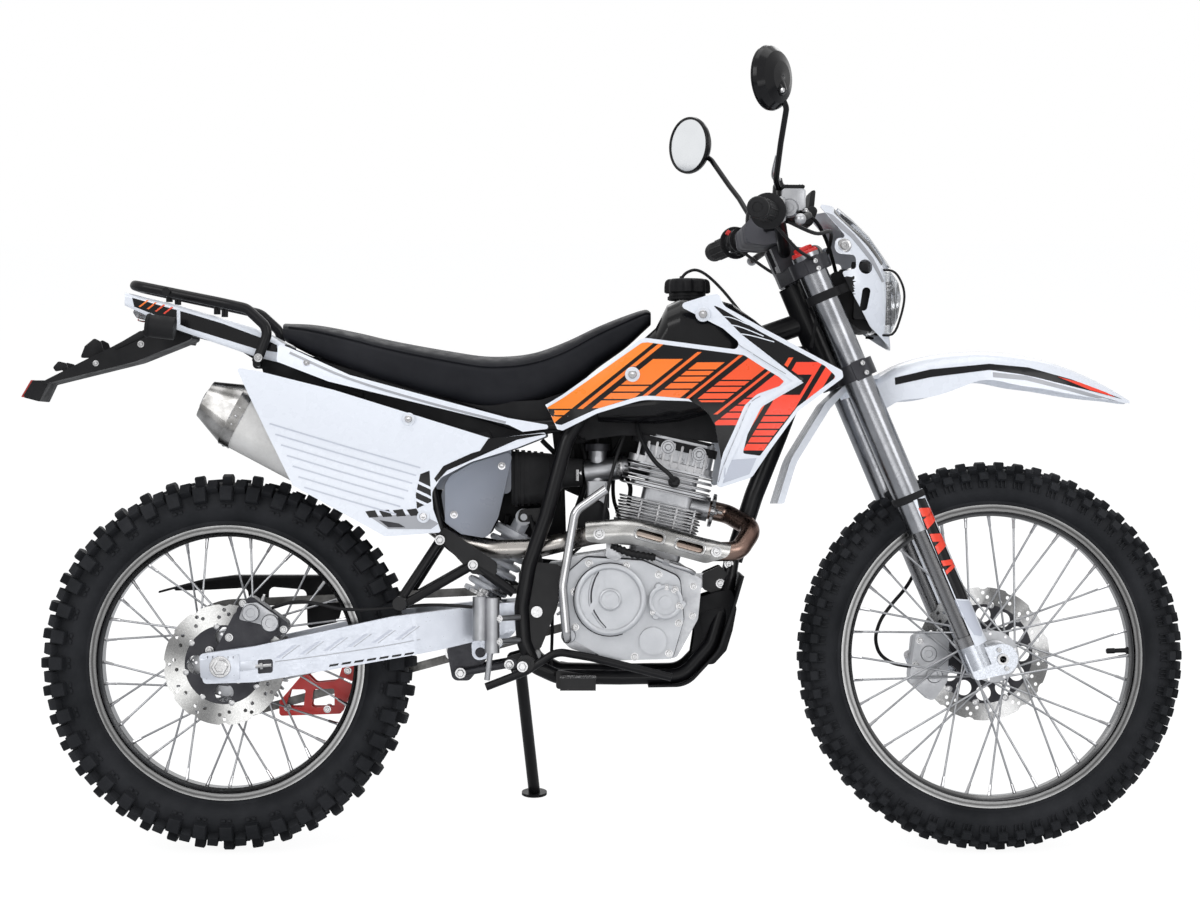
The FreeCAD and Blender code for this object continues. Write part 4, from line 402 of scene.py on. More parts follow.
def dress_nodes():
    for material, names in NODE_LOOKS.items():
        for name in names.split():
            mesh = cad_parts[name].data
            mesh.materials.clear()
            mesh.materials.append(material)
            smooth_faces(mesh)


def paint(node, material, test, place=ON_BIKE):
    """Gives the faces of a CAD node whose centres pass the test another material."""
    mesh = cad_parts[node].data
    mesh.materials.append(material)
    back = place[1].inverted()
    for face in mesh.polygons:
        if test(back @ face.center):
            face.material_index = len(mesh.materials) - 1


def dress_parts():
    paint("front_disc", DARK, lambda p: math.hypot(p.x, p.z) < 89.5, ON_FRONT_WHEEL)
    paint("rear_disc", DARK, lambda p: math.hypot(p.x, p.z) < 69.5, ON_REAR_WHEEL)
    paint("airbox", MOULDED, lambda p: abs(p.y) < 66)
    paint("plate_holder", REFLECTOR, lambda p: p.x < -356 and p.z < 842)
    paint("rear_indicators", AMBER, lambda p: p.x < -118)
    paint("silencer", CAN, lambda p: (p - CAN_END).dot(CAN_HEADING) > 20)
    paint("carburettor", DARK, lambda p: p.z > 715)
    paint("shock_absorber", SPRING, lambda p: p.z > 470 and abs(p.y) > 4)
    paint("foot_pegs", STEEL, lambda p: p.z > 315 and abs(p.y) > 108 and p.x > 590)
    paint("headlight_mask", MOULDED, lambda p: p.x < 1108 and p.z < 1022, ON_BARS)
    paint("rear_caliper", DARK, lambda p: -97 < p.y < -86)


# ------------------------------------------------------------------ stage
def make_world():
    """Soft light from all round, and plain white where the camera looks past the bike."""
    world = bpy.data.worlds.new("studio")
    bpy.context.scene.world = world
    world.use_nodes = True
    tree = world.node_tree
    soft = tree.nodes["Background"]
    soft.inputs["Color"].default_value = (0.93, 0.95, 1.0, 1)
    soft.inputs["Strength"].default_value = 0.42
    shown = tree.nodes.new("ShaderNodeBackground")
    shown.inputs["Color"].default_value = (1, 1, 1, 1)
    paths = tree.nodes.new("ShaderNodeLightPath")
    blend = tree.nodes.new("ShaderNodeMixShader")
    direct = None
    for ray in ("Is Camera Ray", "Is Glossy Ray", "Is Transmission Ray"):
        total = tree.nodes.new("ShaderNodeMath")
        total.operation = "ADD"
        total.use_clamp = True
        tree.links.new(paths.outputs[ray], total.inputs[0])
        if direct is None:
            total.inputs[1].default_value = 0
        else:
            tree.links.new(direct, total.inputs[1])
        direct = total.outputs["Value"]
    tree.links.new(direct, blend.inputs["Fac"])
    tree.links.new(soft.outputs["Background"], blend.inputs[1])
    tree.links.new(shown.outputs["Background"], blend.inputs[2])
    tree.links.new(blend.outputs["Shader"], tree.nodes["World Output"].inputs["Surface"])


def show(name, data):
    """A new object in the scene."""
    item = bpy.data.objects.new(name, data)
    bpy.context.scene.collection.objects.link(item)
    return item


def make_floor():
    """A floor that the camera sees as nearly white, and everything else as a pale surface."""
    floor = bpy.data.meshes.new("floor")
    floor.from_pydata([(-9, -9, 0), (9, -9, 0), (9, 9, 0), (-9, 9, 0)], [], [(0, 1, 2, 3)])
    look = Nodes("studio_floor", (0.86, 0.87, 0.88), 0.75)
    look.tint(look.noise(3, 3), (0.85, 0.86, 0.87), (0.88, 0.89, 0.9))
    look.bump(look.noise(160, 4), 0.0001, 0.2)
    glow = look.add("ShaderNodeEmission", Strength=0.93)
    thin = look.add("ShaderNodeBsdfDiffuse", Color=(0.16, 0.16, 0.16, 1))
    both = look.add("ShaderNodeAddShader")
    swap = look.add("ShaderNodeMixShader")
    paths = look.add("ShaderNodeLightPath")
    look.link(glow.outputs["Emission"], both.inputs[0])
    look.link(thin.outputs["BSDF"], both.inputs[1])
    look.link(paths.outputs["Is Camera Ray"], swap.inputs["Fac"])
    look.link(look.shader.outputs["BSDF"], swap.inputs[1])
    look.link(both.outputs["Shader"], swap.inputs[2])
    look.link(swap.outputs["Shader"], look.tree.nodes["Material Output"].inputs["Surface"])
    floor.materials.append(look.material)
    show("floor", floor)


def make_lamps():
    for name, place, aim, size, power in (
            ("key_left", (-2.6, -3.2, 3.4), 0.7, (2.2, 2.2), 62),
            ("key_right", (2.9, -3.0, 3.0), 0.7, (1.8, 2.4), 47),
            ("top_soft", (0, 0.4, 4.2), 0.6, (4.0, 2.4), 50),
            ("low_front", (0.2, -4.4, 0.9), 0.6, (3.4, 1.0), 21),
            ("back_rim", (0.4, 3.6, 2.6), 0.8, (3.2, 1.4), 26)):
        data = bpy.data.lights.new(name, "AREA")
        data.shape = "RECTANGLE"
        data.size, data.size_y = size
        data.energy = power
        item = show(name, data)
        item.location = place
        item.rotation_mode = "QUATERNION"
        item.rotation_quaternion = (Vector((0, 0, aim)) - Vector(place)).to_track_quat("-Z", "Y")


def make_camera():
    """Looks square at the right side of the leaning bike, 5 m from its middle plane."""
    data = bpy.data.cameras.new("camera")
    data.lens = 83.55
    data.sensor_width = 36
    item = show("camera", data)
    item.location = BIKE @ Vector((665.3, -5000, 718))
    item.rotation_euler = (math.pi / 2 - LEAN, 0, 0)
    bpy.context.scene.camera = item


# ------------------------------------------------------------------ mesh tools
STRAIGHT = 3.1  # a corner whose arms are wider apart than this, in radians, isn't rounded


def circle(count, radius, first=0.0):
    """Pairs of coordinates evenly round a circle, the first one some share of a step along."""
    for k in range(count):
        a = 2 * math.pi * (k + first) / count
        yield radius * math.cos(a), radius * math.sin(a)


def polar(radius, angle, y=0.0):
    """A point in a wheel's frame."""
    return Vector((radius * math.cos(angle), y, radius * math.sin(angle)))


def through(points, steps):
    """A smooth run of points through the given ones."""
    rows = [Vector(point) for point in points]
    if len(rows) < 3:
        return rows
    rows = [rows[0] * 2 - rows[1]] + rows + [rows[-1] * 2 - rows[-2]]
    result = []
    for first, second, third, fourth in zip(rows, rows[1:], rows[2:], rows[3:]):
        for step in range(steps):
            t = step / steps
            result.append(0.5 * ((2 * second) + (third - first) * t
                                 + (2 * first - 5 * second + 4 * third - fourth) * t * t
                                 + (3 * second - first - 3 * third + fourth) * t * t * t))
    return result + [rows[-2]]


def rounded(rows, steps=4):
    """Corners of (a, b) or (a, b, radius) as a list of points, each corner rounded."""
    result = []
    for index, row in enumerate(rows):
        here = Vector(row[:2])
        radius = row[2] if len(row) > 2 else 0
        before = Vector(rows[index - 1][:2]) - here
        after = Vector(rows[(index + 1) % len(rows)][:2]) - here
        if not radius or min(before.length, after.length) < 0.01 or before.angle(after) > STRAIGHT:
            result.append(here)
            continue
        reach = min(radius / math.tan(before.angle(after) / 2), 0.48 * min(before.length, after.length))
        start = here + before.normalized() * reach
        finish = here + after.normalized() * reach
        for step in range(steps + 1):
            t = step / steps
            result.append(start * (1 - t) ** 2 + here * (2 * t * (1 - t)) + finish * t ** 2)
    return result


def facing(place, direction):
    """A matrix at place whose z axis points along direction."""
    turn = Vector(direction).to_track_quat("Z", "Y").to_matrix().to_4x4()
    return Matrix.Translation(Vector(place)) @ turn


def shifted(x, y, z):
    return Matrix.Translation((x, y, z))


class Shape:
    """Collects mesh parts in one frame and then becomes one piece."""

    def __init__(self, look, place=ON_BIKE):
        self.mesh = bmesh.new()
        self.looks = [look]
        self.current = 0
        self.place = place

    def look(self, material):
        if material not in self.looks:
            self.looks.append(material)
        self.current = self.looks.index(material)

    def face(self, corners):
        if len(set(corners)) > 2:
            self.mesh.faces.new(corners).material_index = self.current

    def ring(self, points):
        return [self.mesh.verts.new(point) for point in points]

    def skin(self, rings, around=True, loop=False, caps=True):
        """Faces between rings: around closes each ring, and loop joins the last to the first."""
        count = len(rings[0])
        for first, second in zip(rings, rings[1:] + rings[:1] if loop else rings[1:]):
            for index in range(count if around else count - 1):
                following = (index + 1) % count
                self.face([first[index], first[following], second[following], second[index]])
        if caps and not loop:
            self.face(rings[0][::-1])
            self.face(rings[-1])

    def tube(self, points, radius, sides=10, steps=0, caps=True):
        """A round section along points; the radius may be a function of the share of the way."""
        path = through(points, steps) if steps else [Vector(point) for point in points]
        rings = []
        normal = None
        for index, point in enumerate(path):
            ahead = path[min(index + 1, len(path) - 1)] - path[max(index - 1, 0)]
            ahead.normalize()
            normal = ahead.orthogonal() if normal is None else normal - ahead * normal.dot(ahead)
            normal.normalize()
            across = ahead.cross(normal)
            wide = radius(index / (len(path) - 1)) if callable(radius) else radius
            rings.append(self.ring(point + normal * a + across * b for a, b in circle(sides, wide)))
        self.skin(rings, caps=caps)

    def tubes(self, runs):
        """Rows of radius, sides, steps and points."""
        for radius, sides, steps, points in runs:
            self.tube(points, radius, sides, steps)

    def lathe(self, rows, place, direction, sides=28, caps=True, loop=False):
        """Rows of height and radius turned round an axis."""
        where = facing(place, direction)
        self.skin([self.ring(where @ Vector((x, y, height)) for x, y in circle(sides, radius))
                   for height, radius in rows], caps=caps, loop=loop)

    def collar(self, rows, place, direction, sides):
        """A section of height and radius, closed on itself and turned round an axis."""
        self.lathe(rows, place, direction, sides, False, True)

    def prism(self, rows, near, far, bevel=0.0, where=None, steps=4, segments=2):
        """An x-z outline made solid between two y values, its edges eased."""
        points = rounded(rows, steps)
        first = self.ring((p[0], near, p[1]) for p in points)
        second = self.ring((p[0], far, p[1]) for p in points)
        self.skin([first, second])
        fresh = first + second
        if bevel:
            rims = [edge for edge in dict.fromkeys(e for v in fresh for e in v.link_edges)
                    if abs(edge.verts[0].co.y - edge.verts[1].co.y) < 1e-6]
            result = bmesh.ops.bevel(self.mesh, geom=rims, offset=bevel, segments=segments,
                                     profile=0.6, affect="EDGES", clamp_overlap=True,
                                     material=self.current)
            fresh = list({v for v in fresh if v.is_valid} | set(result["verts"]))
        if where is not None:
            bmesh.ops.transform(self.mesh, matrix=where, verts=fresh)

    def pair(self, rows, near, far, bevel, where=None):
        """The same prism on both sides of the middle plane."""
        for side in SIDES:
            self.prism(rows, side * near, side * far, bevel, where)

    def block(self, centre, size, bevel):
        x, y, z = (value / 2 for value in size)
        self.prism([(-x, -z), (x, -z), (x, z), (-x, z)], -y, y, bevel, shifted(*centre))

    def bolt(self, place, direction, size, washer=True):
        """A socket-head bolt: size is the head's radius."""
        rows = [(-2, size)]
        if washer:
            rows = [(-2, size * 1.5), (size * 0.25, size * 1.5), (size * 0.28, size * 1.02)]
        rows += [(size * 0.9, size), (size * 1.05, size * 0.86), (size * 1.05, size * 0.52),
                 (size * 0.55, size * 0.48), (size * 0.5, 0.05)]
        self.lathe(rows, place, direction, 14)

    def hexagon(self, place, direction, size, height):
        """A six-sided head on its washer."""
        self.lathe([(-1, size * 1.35), (1.2, size * 1.35)], place, direction, 18)
        self.lathe([(0, size), (height - 1, size), (height, size * 0.8), (height, 0.05)],
                   place, direction, 6)

    def done(self, name, slot=None, replaces=(), angle=34):
        body, matrix = self.place
        bmesh.ops.transform(self.mesh, matrix=matrix, verts=self.mesh.verts)
        bmesh.ops.recalc_face_normals(self.mesh, faces=self.mesh.faces)
        data = bpy.data.meshes.new(name)
        self.mesh.to_mesh(data)
        self.mesh.free()
        for material in self.looks:
            data.materials.append(material)
        smooth_faces(data, angle)
        piece = show(name, data)
        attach(piece, body)
        if replaces:
            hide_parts(*replaces)
        return piece


# ------------------------------------------------------------------ what lies on CAD surfaces
def surface_of(names, place=ON_BIKE):
    """A search tree of CAD nodes, seen in the frame that a piece is drawn in."""
    back = place[1].inverted()
    corners = []
    faces = []
    for name in names.split():
        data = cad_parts[name].data
        start = len(corners)
        corners += [back @ vertex.co for vertex in data.vertices]
        faces += [[start + index for index in face.vertices] for face in data.polygons]
    return BVHTree.FromPolygons(corners, faces)


def meet(surface, x, z, side=-1):
    """Where a look along y meets a surface, from the left (1) or the right (-1)."""
    return surface.ray_cast(Vector((x, side * 600, z)), Vector((0, -side, 0)), 700)[0]


def fasten(shape, surface, rows, sides=(-1,), hexed=False):
    """Bolts of a given head radius where each x, z meets the surface."""
    for side in sides:
        for x, z, size in rows:
            spot = meet(surface, x, z, side)
            if hexed:
                shape.hexagon(spot, (0, side, 0), size, size * 0.8)
            else:
                shape.bolt(spot, (0, side, 0), size)


class Print(Shape):
    """Thin printed shapes that follow both sides of a panel, drawn as x-z outlines."""

    def __init__(self, look, names, place=ON_BIKE, step=14, lift=0.3, start=600):
        super().__init__(look, place)
        self.surface = surface_of(names, place)
        self.step = step
        self.lift = lift
        self.start = start  # how far from the middle plane the looks at the panel start

    def area(self, look, rows, lift=0.0):
        """A rounded outline on both sides."""
        self.look(look)
        for side in SIDES:
            self.lay(rounded(rows), side, self.lift + lift)

    def line(self, look, points, width, lift=0.0, steps=4):
        """A stripe along a path."""
        path = through([(x, 0, z) for x, z in points], steps)
        left = []
        right = []
        for index, point in enumerate(path):
            ahead = path[min(index + 1, len(path) - 1)] - path[max(index - 1, 0)]
            across = Vector((-ahead.z, 0, ahead.x)).normalized() * width / 2
            left.append((point.x + across.x, point.z + across.z))
            right.append((point.x - across.x, point.z - across.z))
        for corners in zip(left, left[1:], right[1:], right):
            self.area(look, corners, lift)

    def lay(self, outline, side, lift):
        """Cuts an outline into cells, carries them to the surface and lifts them off it."""
        flat = bmesh.new()
        flat.faces.new([flat.verts.new((p[0], 0, p[1])) for p in outline])
        bmesh.ops.triangulate(flat, faces=flat.faces)
        for axis in (0, 2):
            values = [v.co[axis] for v in flat.verts]
            at = math.floor(min(values) / self.step + 1) * self.step
            while at < max(values):
                spot = Vector((0, 0, 0))
                spot[axis] = at
                normal = Vector((0, 0, 0))
                normal[axis] = 1
                bmesh.ops.bisect_plane(flat, geom=flat.verts[:] + flat.edges[:] + flat.faces[:],
                                       plane_co=spot, plane_no=normal, dist=0.001)
                at += self.step
        hits = {}
        missed = []
        for vertex in flat.verts:
            start = Vector((vertex.co.x, side * self.start, vertex.co.z))
            spot, normal, _, _ = self.surface.ray_cast(start, Vector((0, -side, 0)), 600)
            if spot is None or spot.y * side < 0:
                missed.append(vertex)
            else:
                hits[vertex] = (spot, normal * (lift if normal.y * side >= 0 else -lift))
        fresh = {v: self.mesh.verts.new(spot + rise) for v, (spot, rise) in hits.items()}
        for vertex in missed if hits else ():
            near = min(hits, key=lambda other: (other.co - vertex.co).length)
            spot, rise = hits[near]
            edge, _, _, _ = self.surface.find_nearest(Vector((vertex.co.x, spot.y, vertex.co.z)))
            if abs(edge.y - spot.y) < 12:
                fresh[vertex] = self.mesh.verts.new(edge + rise)
        for face in flat.faces:
            if all(v in fresh for v in face.verts):
                self.face([fresh[v] for v in face.verts])
        flat.free()


# ------------------------------------------------------------------ wheels
ACROSS = 3  # cells across the foot of a tread block
BLOCK_FOOT = ([(-1 + 2 * k / ACROSS, -1) for k in range(ACROSS + 1)]
              + [(1 - 2 * k / ACROSS, 1) for k in range(ACROSS + 1)])

ALL, EVEN, ODD = (0, 1), (0,), (1,)
# rows: which pitches have the block, share of the pitch, degrees from the middle, width, length,
# share of the depth and skew; ribs: degrees, length, height, width and count in a pitch
FRONT_TREAD = {"depth": 12.0, "count": 62,
               "rows": [(ALL, 0.0, 62, 15, 19, 1.0, 0.0), (ALL, 0.5, 37, 14, 16, 0.96, 0.12),
                        (EVEN, 0.0, 13, 15, 17, 1.0, 0.0), (ODD, 0.0, 0, 18, 17, 1.0, 0.0)],
               "ribs": (80, 2.6, 3.6, 16, 3)}
REAR_TREAD = {"depth": 15.0, "count": 40,
              "rows": [(ALL, 0.0, 65, 30, 27, 1.0, 0.0), (ALL, 0.5, 44, 24, 21, 0.97, 0.1),
                       (EVEN, 0.02, 14, 22, 18, 1.0, 0.0), (ODD, 0.0, 0, 30, 18, 1.0, 0.0)],
              "ribs": (92, 9, 3.5, 6, 2)}


def tyre(name, node, ring, crown, rim_radius, bead_half, tread, place):
    """Carcass with moulded ribs, and rows of tread blocks round it."""
    shape = Shape(TYRE, place)
    base = crown - tread["depth"]
    outer = ring + crown

    def block(theta, phi, wide, long, height, skew=0.0):
        """A block that tapers to its top."""
        layers = []
        for rise, grow_s, grow_t in ((-1.5, 1.16, 1.10), (height * 0.25, 1.02, 1.02),
                                     (height - 1.4, 0.97, 0.95), (height, 0.88, 0.84)):
            corners = []
            for s, t in BLOCK_FOOT:
                over = s * wide / 2 * grow_s
                angle = theta + over / crown
                turn = phi + (t * long / 2 * grow_t + skew * over) / outer
                away = base + rise
                corners.append(polar(ring + away * math.cos(angle), turn, away * math.sin(angle)))
            layers.append(shape.ring(corners))
        shape.skin(layers, caps=False)
        top = layers[-1]
        for index in range(ACROSS):
            shape.face([top[index], top[index + 1], top[-2 - index], top[-1 - index]])

    bead = [(bead_half - 1.5, rim_radius - ring - 2), (bead_half, rim_radius - ring + 4)]
    wall = []
    foot = math.radians(136)
    for step in range(27):
        theta = -foot + 2 * foot * step / 26
        degrees = abs(math.degrees(theta))
        reach = base + 0.9 * sum(abs(degrees - rib) < 4 for rib in (118, 108))
        wall.append((reach * math.sin(theta), reach * math.cos(theta)))
    section = [(-y, height) for y, height in bead] + wall + bead[::-1]
    shape.skin([shape.ring(((ring + height) * x, y, (ring + height) * z) for y, height in section)
                for x, z in circle(144, 1)], loop=True)

    pitch = 2 * math.pi / tread["count"]
    for index in range(tread["count"]):
        for turns, share, degrees, wide, long, height, skew in tread["rows"]:
            if index % 2 in turns:
                for side in SIDES if degrees else (0,):
                    block(math.radians(degrees) * side, (index + share) * pitch, wide, long,
                          height * tread["depth"], skew * side)
        degrees, long, height, wide, count = tread["ribs"]
        for side in SIDES:
            for k in range(count):
                block(math.radians(degrees) * side, (index + (k - (count - 1) / 2) * 0.24) * pitch,
                      wide, long, height)
    shape.done(name, replaces=(node,), angle=40)


def nipples(name, flange, flange_half, rim_radius, place):
    """The nipple that holds each spoke in the rim, the spoke's head at the hub, and the valve."""
    shape = Shape(CHROME, place)
    for index in range(36):
        side = 1 if index % 2 else -1
        lead = 1 if (index // 2) % 2 else -1
        rim_angle = 2 * math.pi * index / 36
        start = polar(flange, rim_angle + lead * math.radians(62), side * flange_half + 2.4 * lead)
        end = polar(rim_radius, rim_angle, side * 5)
        shape.lathe([(-1, 3.4), (3, 3.4), (4, 2.9), (17, 2.7), (18.5, 2.2), (18.6, 1.9)],
                    end, (start - end).normalized(), 8)
        shape.lathe([(-2.6, 2.6), (0, 3.2), (2.2, 2.2)], start, LEFT, 8)
    shape.look(MOULDED)
    valve = math.radians(2)
    shape.lathe([(0, 6), (3, 6), (6, 4.2), (24, 4), (25, 5), (38, 5), (40, 3.6), (40, 0.1)],
                polar(rim_radius + 2, valve), -polar(1, valve), 12)
    shape.done(name)


def make_wheels():
    tyre("front_tread", "front_tyre", 302, 46, 262, 23.5, FRONT_TREAD, ON_FRONT_WHEEL)
    tyre("rear_tread", "rear_tyre", 282, 55, 236.5, 29.5, REAR_TREAD, ON_REAR_WHEEL)
    nipples("front_nipples", 41, 33, 250, ON_FRONT_WHEEL)
    nipples("rear_nipples", 53, 42, 224.5, ON_REAR_WHEEL)


def make_disc_trim():
    rivet = [(-1, 6.4), (0.6, 6.4), (1.1, 5.2), (1.1, 3.2), (0.6, 3)]
    small_rivet = [(-1, 5.4), (0.6, 5.4), (1.1, 4.4), (1.1, 2.8), (0.6, 2.6)]
    front = Shape(STEEL, ON_FRONT_WHEEL)
    for x, z in circle(6, 36, 0.5):
        front.hexagon((x, 61.5, z), LEFT, 5.5, 5)
    for x, z in circle(10, 89, 0.25):
        front.lathe(rivet, (x, 64, z), LEFT, 16)
        front.lathe(rivet, (x, 60, z), RIGHT, 16)
    front.done("front_disc_bolts")
    rear = Shape(STEEL, ON_REAR_WHEEL)
    for x, z in circle(4, 36, 0.5):
        rear.hexagon((x, -73, z), RIGHT, 5.5, 5)
    for x, z in circle(8, 69, 0.25):
        rear.lathe(small_rivet, (x, -70, z), RIGHT, 16)
    for x, z in circle(6, 48, 0.5):
        rear.hexagon((x, 76, z), LEFT, 6.5, 6)
    rear.done("rear_disc_bolts")


def make_hub_rings():
    """Turned steps and a dust seal on each end of the front hub."""
    shape = Shape(ALLOY, ON_FRONT_WHEEL)
    for y, outer, inner, deep in ((44, 30, 17, 2.4), (30, 36, 28, 3)):
        for side in SIDES:
            shape.collar([(0, inner), (0, outer), (deep * 0.7, outer), (deep, outer - 1.2),
                          (deep, inner + 1.5), (deep - 1, inner)], (0, side * y, 0), (0, side, 0), 40)
    shape.done("front_hub_rings")


# ------------------------------------------------------------------ seat
# x, half width, height of the foot and of the top
SEAT = [(106, 84, 909, 943), (160, 92, 882, 940), (230, 99, 852, 927), (300, 103, 828, 911),
        (400, 102, 800, 893), (470, 97, 786, 884), (540, 84, 795, 889), (600, 66, 816, 909),
        (660, 55, 864, 937), (710, 49, 900, 957), (745, 44, 932, 968), (756, 38, 942, 964)]
SEAM = 0.42  # height of the seam as a share of the half height


def make_seat():
    """Moulded foam under stretched vinyl: a crowned top, tucked sides and a stitched seam."""
    rows = through([(x, low, high) for x, half, low, high in SEAT], 6)
    halves = [row.y for row in through([(x, half, 0) for x, half, low, high in SEAT], 6)]
    shape = Shape(VINYL)
    rings = []
    for index, ((x, low, high), half) in enumerate(zip(rows, halves)):
        middle, tall = (low + high) / 2, (high - low) / 2
        points = []
        for c, s in circle(44, 1):
            y = half * math.copysign(abs(c) ** 0.62, c)
            z = middle + tall * math.copysign(abs(s) ** 0.55, s)
            if s > 0:
                z -= 2.2 * (1 - math.exp(-((y / half) ** 2) * 3)) - 1.6 * (1 - (y / half) ** 2)
            y -= math.copysign(2.4 * math.exp(-((s - SEAM) / 0.10) ** 2), c)
            pucker = 0.45 * math.sin(x * 0.19 + math.sin(x * 0.043) * 3) * math.exp(-((s - 0.3) / 0.3) ** 2)
            y += math.copysign(pucker, c)
            points.append((x - 2.5 * s * (index < 2), y, z))
        rings.append(shape.ring(points))
    shape.skin(rings)
    cover = shape.done("seat_cover", replaces=("seat",), angle=60)
    seam = Shape(VINYL)
    out = math.sqrt(1 - SEAM * SEAM) ** 0.62
    for side in (1, -1):
        seam.tube([(x, side * (half * out - 1.0), (low + high) / 2 + (high - low) / 2 * SEAM ** 0.55)
                   for (x, low, high), half in zip(rows[1:-1], halves[1:-1])], 1.5, 6)
    seam.done("seat_piping")


# ------------------------------------------------------------------ printed panels
TANK_FIELD = [(538, 771), (602, 810, 20), (738, 905, 12), (748, 906, 6), (916, 883, 10),
              (948, 862, 6), (976, 845, 4), (985, 837, 2), (977, 829, 4), (938, 815, 20),
              (917, 796, 20), (898, 752, 20), (874, 700), (870, 735, 20), (862, 778, 20),
              (838, 806, 20), (740, 814, 90), (660, 790, 60), (598, 762)]
WING_FIELD = [(862, 972, 2), (876, 966, 6), (944, 924, 30), (1056, 864, 6), (1076, 845, 6),
              (1004, 790, 40), (966, 742, 20), (944, 708, 4), (914, 712, 4), (922, 745, 20),
              (946, 793, 20), (1024, 838, 4), (912, 919, 20)]
# slanted bars: colour, start, end, low, high and the heights of the thin cuts
TANK_SLASHES = [(0, -428, -372, 760, 910, (778, 789)), (1, -362, -352, 790, 910, ()),
                (1, -338, -286, 790, 878, (806, 819, 831)), (2, -276, -268, 800, 890, ()),
                (2, -254, -206, 800, 872, (824, 836, 847, 857)), (3, -196, -189, 800, 884, ()),
                (4, -174, -122, 800, 884, (806, 818, 829, 839)), (4, -112, -105, 780, 870, ()),
                (5, -92, -50, 760, 862, (772, 784, 796, 808))]
WING_SLASHES = [(4, 466, 474, 700, 815, ()), (5, 484, 530, 716, 815, (730, 742, 754, 766, 778)),
                (5, 524, 530, 812, 852, ()), (4, 466, 474, 852, 880, ()), (5, 484, 530, 849, 872, ()),
                (5, 540, 556, 716, 880, ()), (4, 566, 572, 716, 880, ())]
CUT_HALF = 1.3


def clip(rows, lines):
    """An outline cut by half planes (a, b, c) that keep a x + b z >= c."""
    for a, b, c in lines:
        kept = []
        for first, second in zip(rows, rows[1:] + rows[:1]):
            f = a * first[0] + b * first[1] - c
            s = a * second[0] + b * second[1] - c
            if f >= 0:
                kept.append(first)
            if f * s < 0:
                kept.append(fade(first, second, f / (f - s)))
        rows = kept
    return rows


def make_shroud_print():
    """Slanted bars, x - lean z from start to end, over the tank's and the wing's fields."""
    graphic = Print(BLACK, "shrouds")
    graphic.area(BLACK, TANK_FIELD)
    graphic.area(BLACK, WING_FIELD)
    for field, slashes, lean in ((TANK_FIELD, TANK_SLASHES, 1.25), (WING_FIELD, WING_SLASHES, 0.6)):
        outline = [tuple(point) for point in rounded(field)]
        for colour, start, end, low, high, cuts in slashes:
            levels = [low - CUT_HALF * (not cuts), *cuts, high]
            for bottom, top in zip(levels, levels[1:]):
                bar = clip(outline, [(1, -lean, start), (-1, lean, -end),
                                     (0, 1, bottom + CUT_HALF), (0, -1, CUT_HALF - top)])
                if len(bar) > 2:
                    graphic.area(FLAMES[colour], bar, 0.25)
    graphic.line(WHITE, [(856, 950), (890, 950), (925, 936)], 1.6, 0.2)
    graphic.line(WHITE, [(876, 936), (905, 934), (950, 916)], 1.8, 0.2)
    graphic.line(WHITE, [(890, 922), (925, 918), (968, 906)], 1.8, 0.2)
    graphic.line(GREY, [(806, 968), (850, 938), (905, 902), (958, 868), (988, 850)], 1.4, 0.2)
    graphic.line(GREY, [(944, 812), (926, 798), (906, 752), (882, 694), (872, 662)], 1.4, 0.2)
    graphic.area(PALE, [(884, 700), (938, 704), (926, 676), (880, 660)], 0.1)
    graphic.done("shroud_print", angle=50)


def make_side_print():
    graphic = Print(PALE, "side_panels")
    for k in range(7):
        x, z, long = 90 + 10 * k, 764 - 18.5 * k, 262 - 17 * k
        graphic.line(PALE, [(x, z), (x + long / 2, z - 0.15 * long), (x + long, z - 0.294 * long)],
                     2.6, 0.2, 6)
    graphic.area(BLACK, [(352, 676), (368, 682), (371, 628), (346, 616), (344, 640)], 0.15)
    for k in range(3):
        z = 668 - 16 * k
        graphic.area(WHITE, [(340, z), (374, z - 16), (374, z - 21), (340, z - 5)], 0.4)
    for k in range(4):
        x = 256 + 24 * k
        graphic.area(BLACK, [(x, 611 + k), (x + 17, 613 + k), (x + 23, 601 + k), (x + 7, 600 + k)], 0.15)
    graphic.area(GREY, [(262, 603), (352, 606), (384, 590), (370, 580), (296, 580)], 0.1)
    graphic.area(DARK, [(280, 596), (314, 590), (326, 583), (296, 583)], 0.3)
    graphic.area(BLACK, [(470, 738), (592, 750), (596, 754), (520, 736), (440, 712), (392, 690),
                         (376, 668), (380, 662), (398, 682), (446, 703)], 0.15)
    graphic.done("side_panel_print", angle=50)


def make_tail_print():
    graphic = Print(BLACK, "rear_fender")
    graphic.area(BLACK, [(-164, 988), (-60, 959), (0, 941), (70, 915), (96, 903), (98, 890),
                         (60, 896), (-60, 933), (-160, 972)])
    for k, colour in enumerate((1, 2, 4, 5)):
        x, z = -152 + 15 * k, 972 - 4.2 * k
        graphic.area(FLAMES[colour], [(x, z), (x + 3.5, z - 1), (x + 19, z + 10.5),
                                      (x + 15.5, z + 11.5)], 0.25)
    graphic.line(GREY, [(120, 889), (225, 843), (360, 802), (500, 766)], 4, 0.2)
    graphic.done("tail_print", angle=50)


def make_fork_print():
    """Red wedges, each (low, tall, lean), over a black field, with a pale foot."""
    graphic = Print(BLACK, "fork_guards fork_legs", ON_FORK, 4)
    graphic.area(BLACK, [(37, 318), (56, 312), (56, 118), (29, 132), (29, 255), (32, 290)])
    for z, tall, lean in ((286, 16, -8), (262, 18, 8), (238, 15, -8), (214, 15, 8), (192, 10, -6),
                          (176, 7, 6)):
        graphic.area(RED, [(33, z), (54, z + lean), (54, z + lean + tall), (33, z + tall)], 0.25)
    graphic.area(PALE, [(29, 129), (56, 115), (56, 62), (48, 52), (36, 60), (29, 100)])
    graphic.done("guard_print", "white_plastic", angle=60)


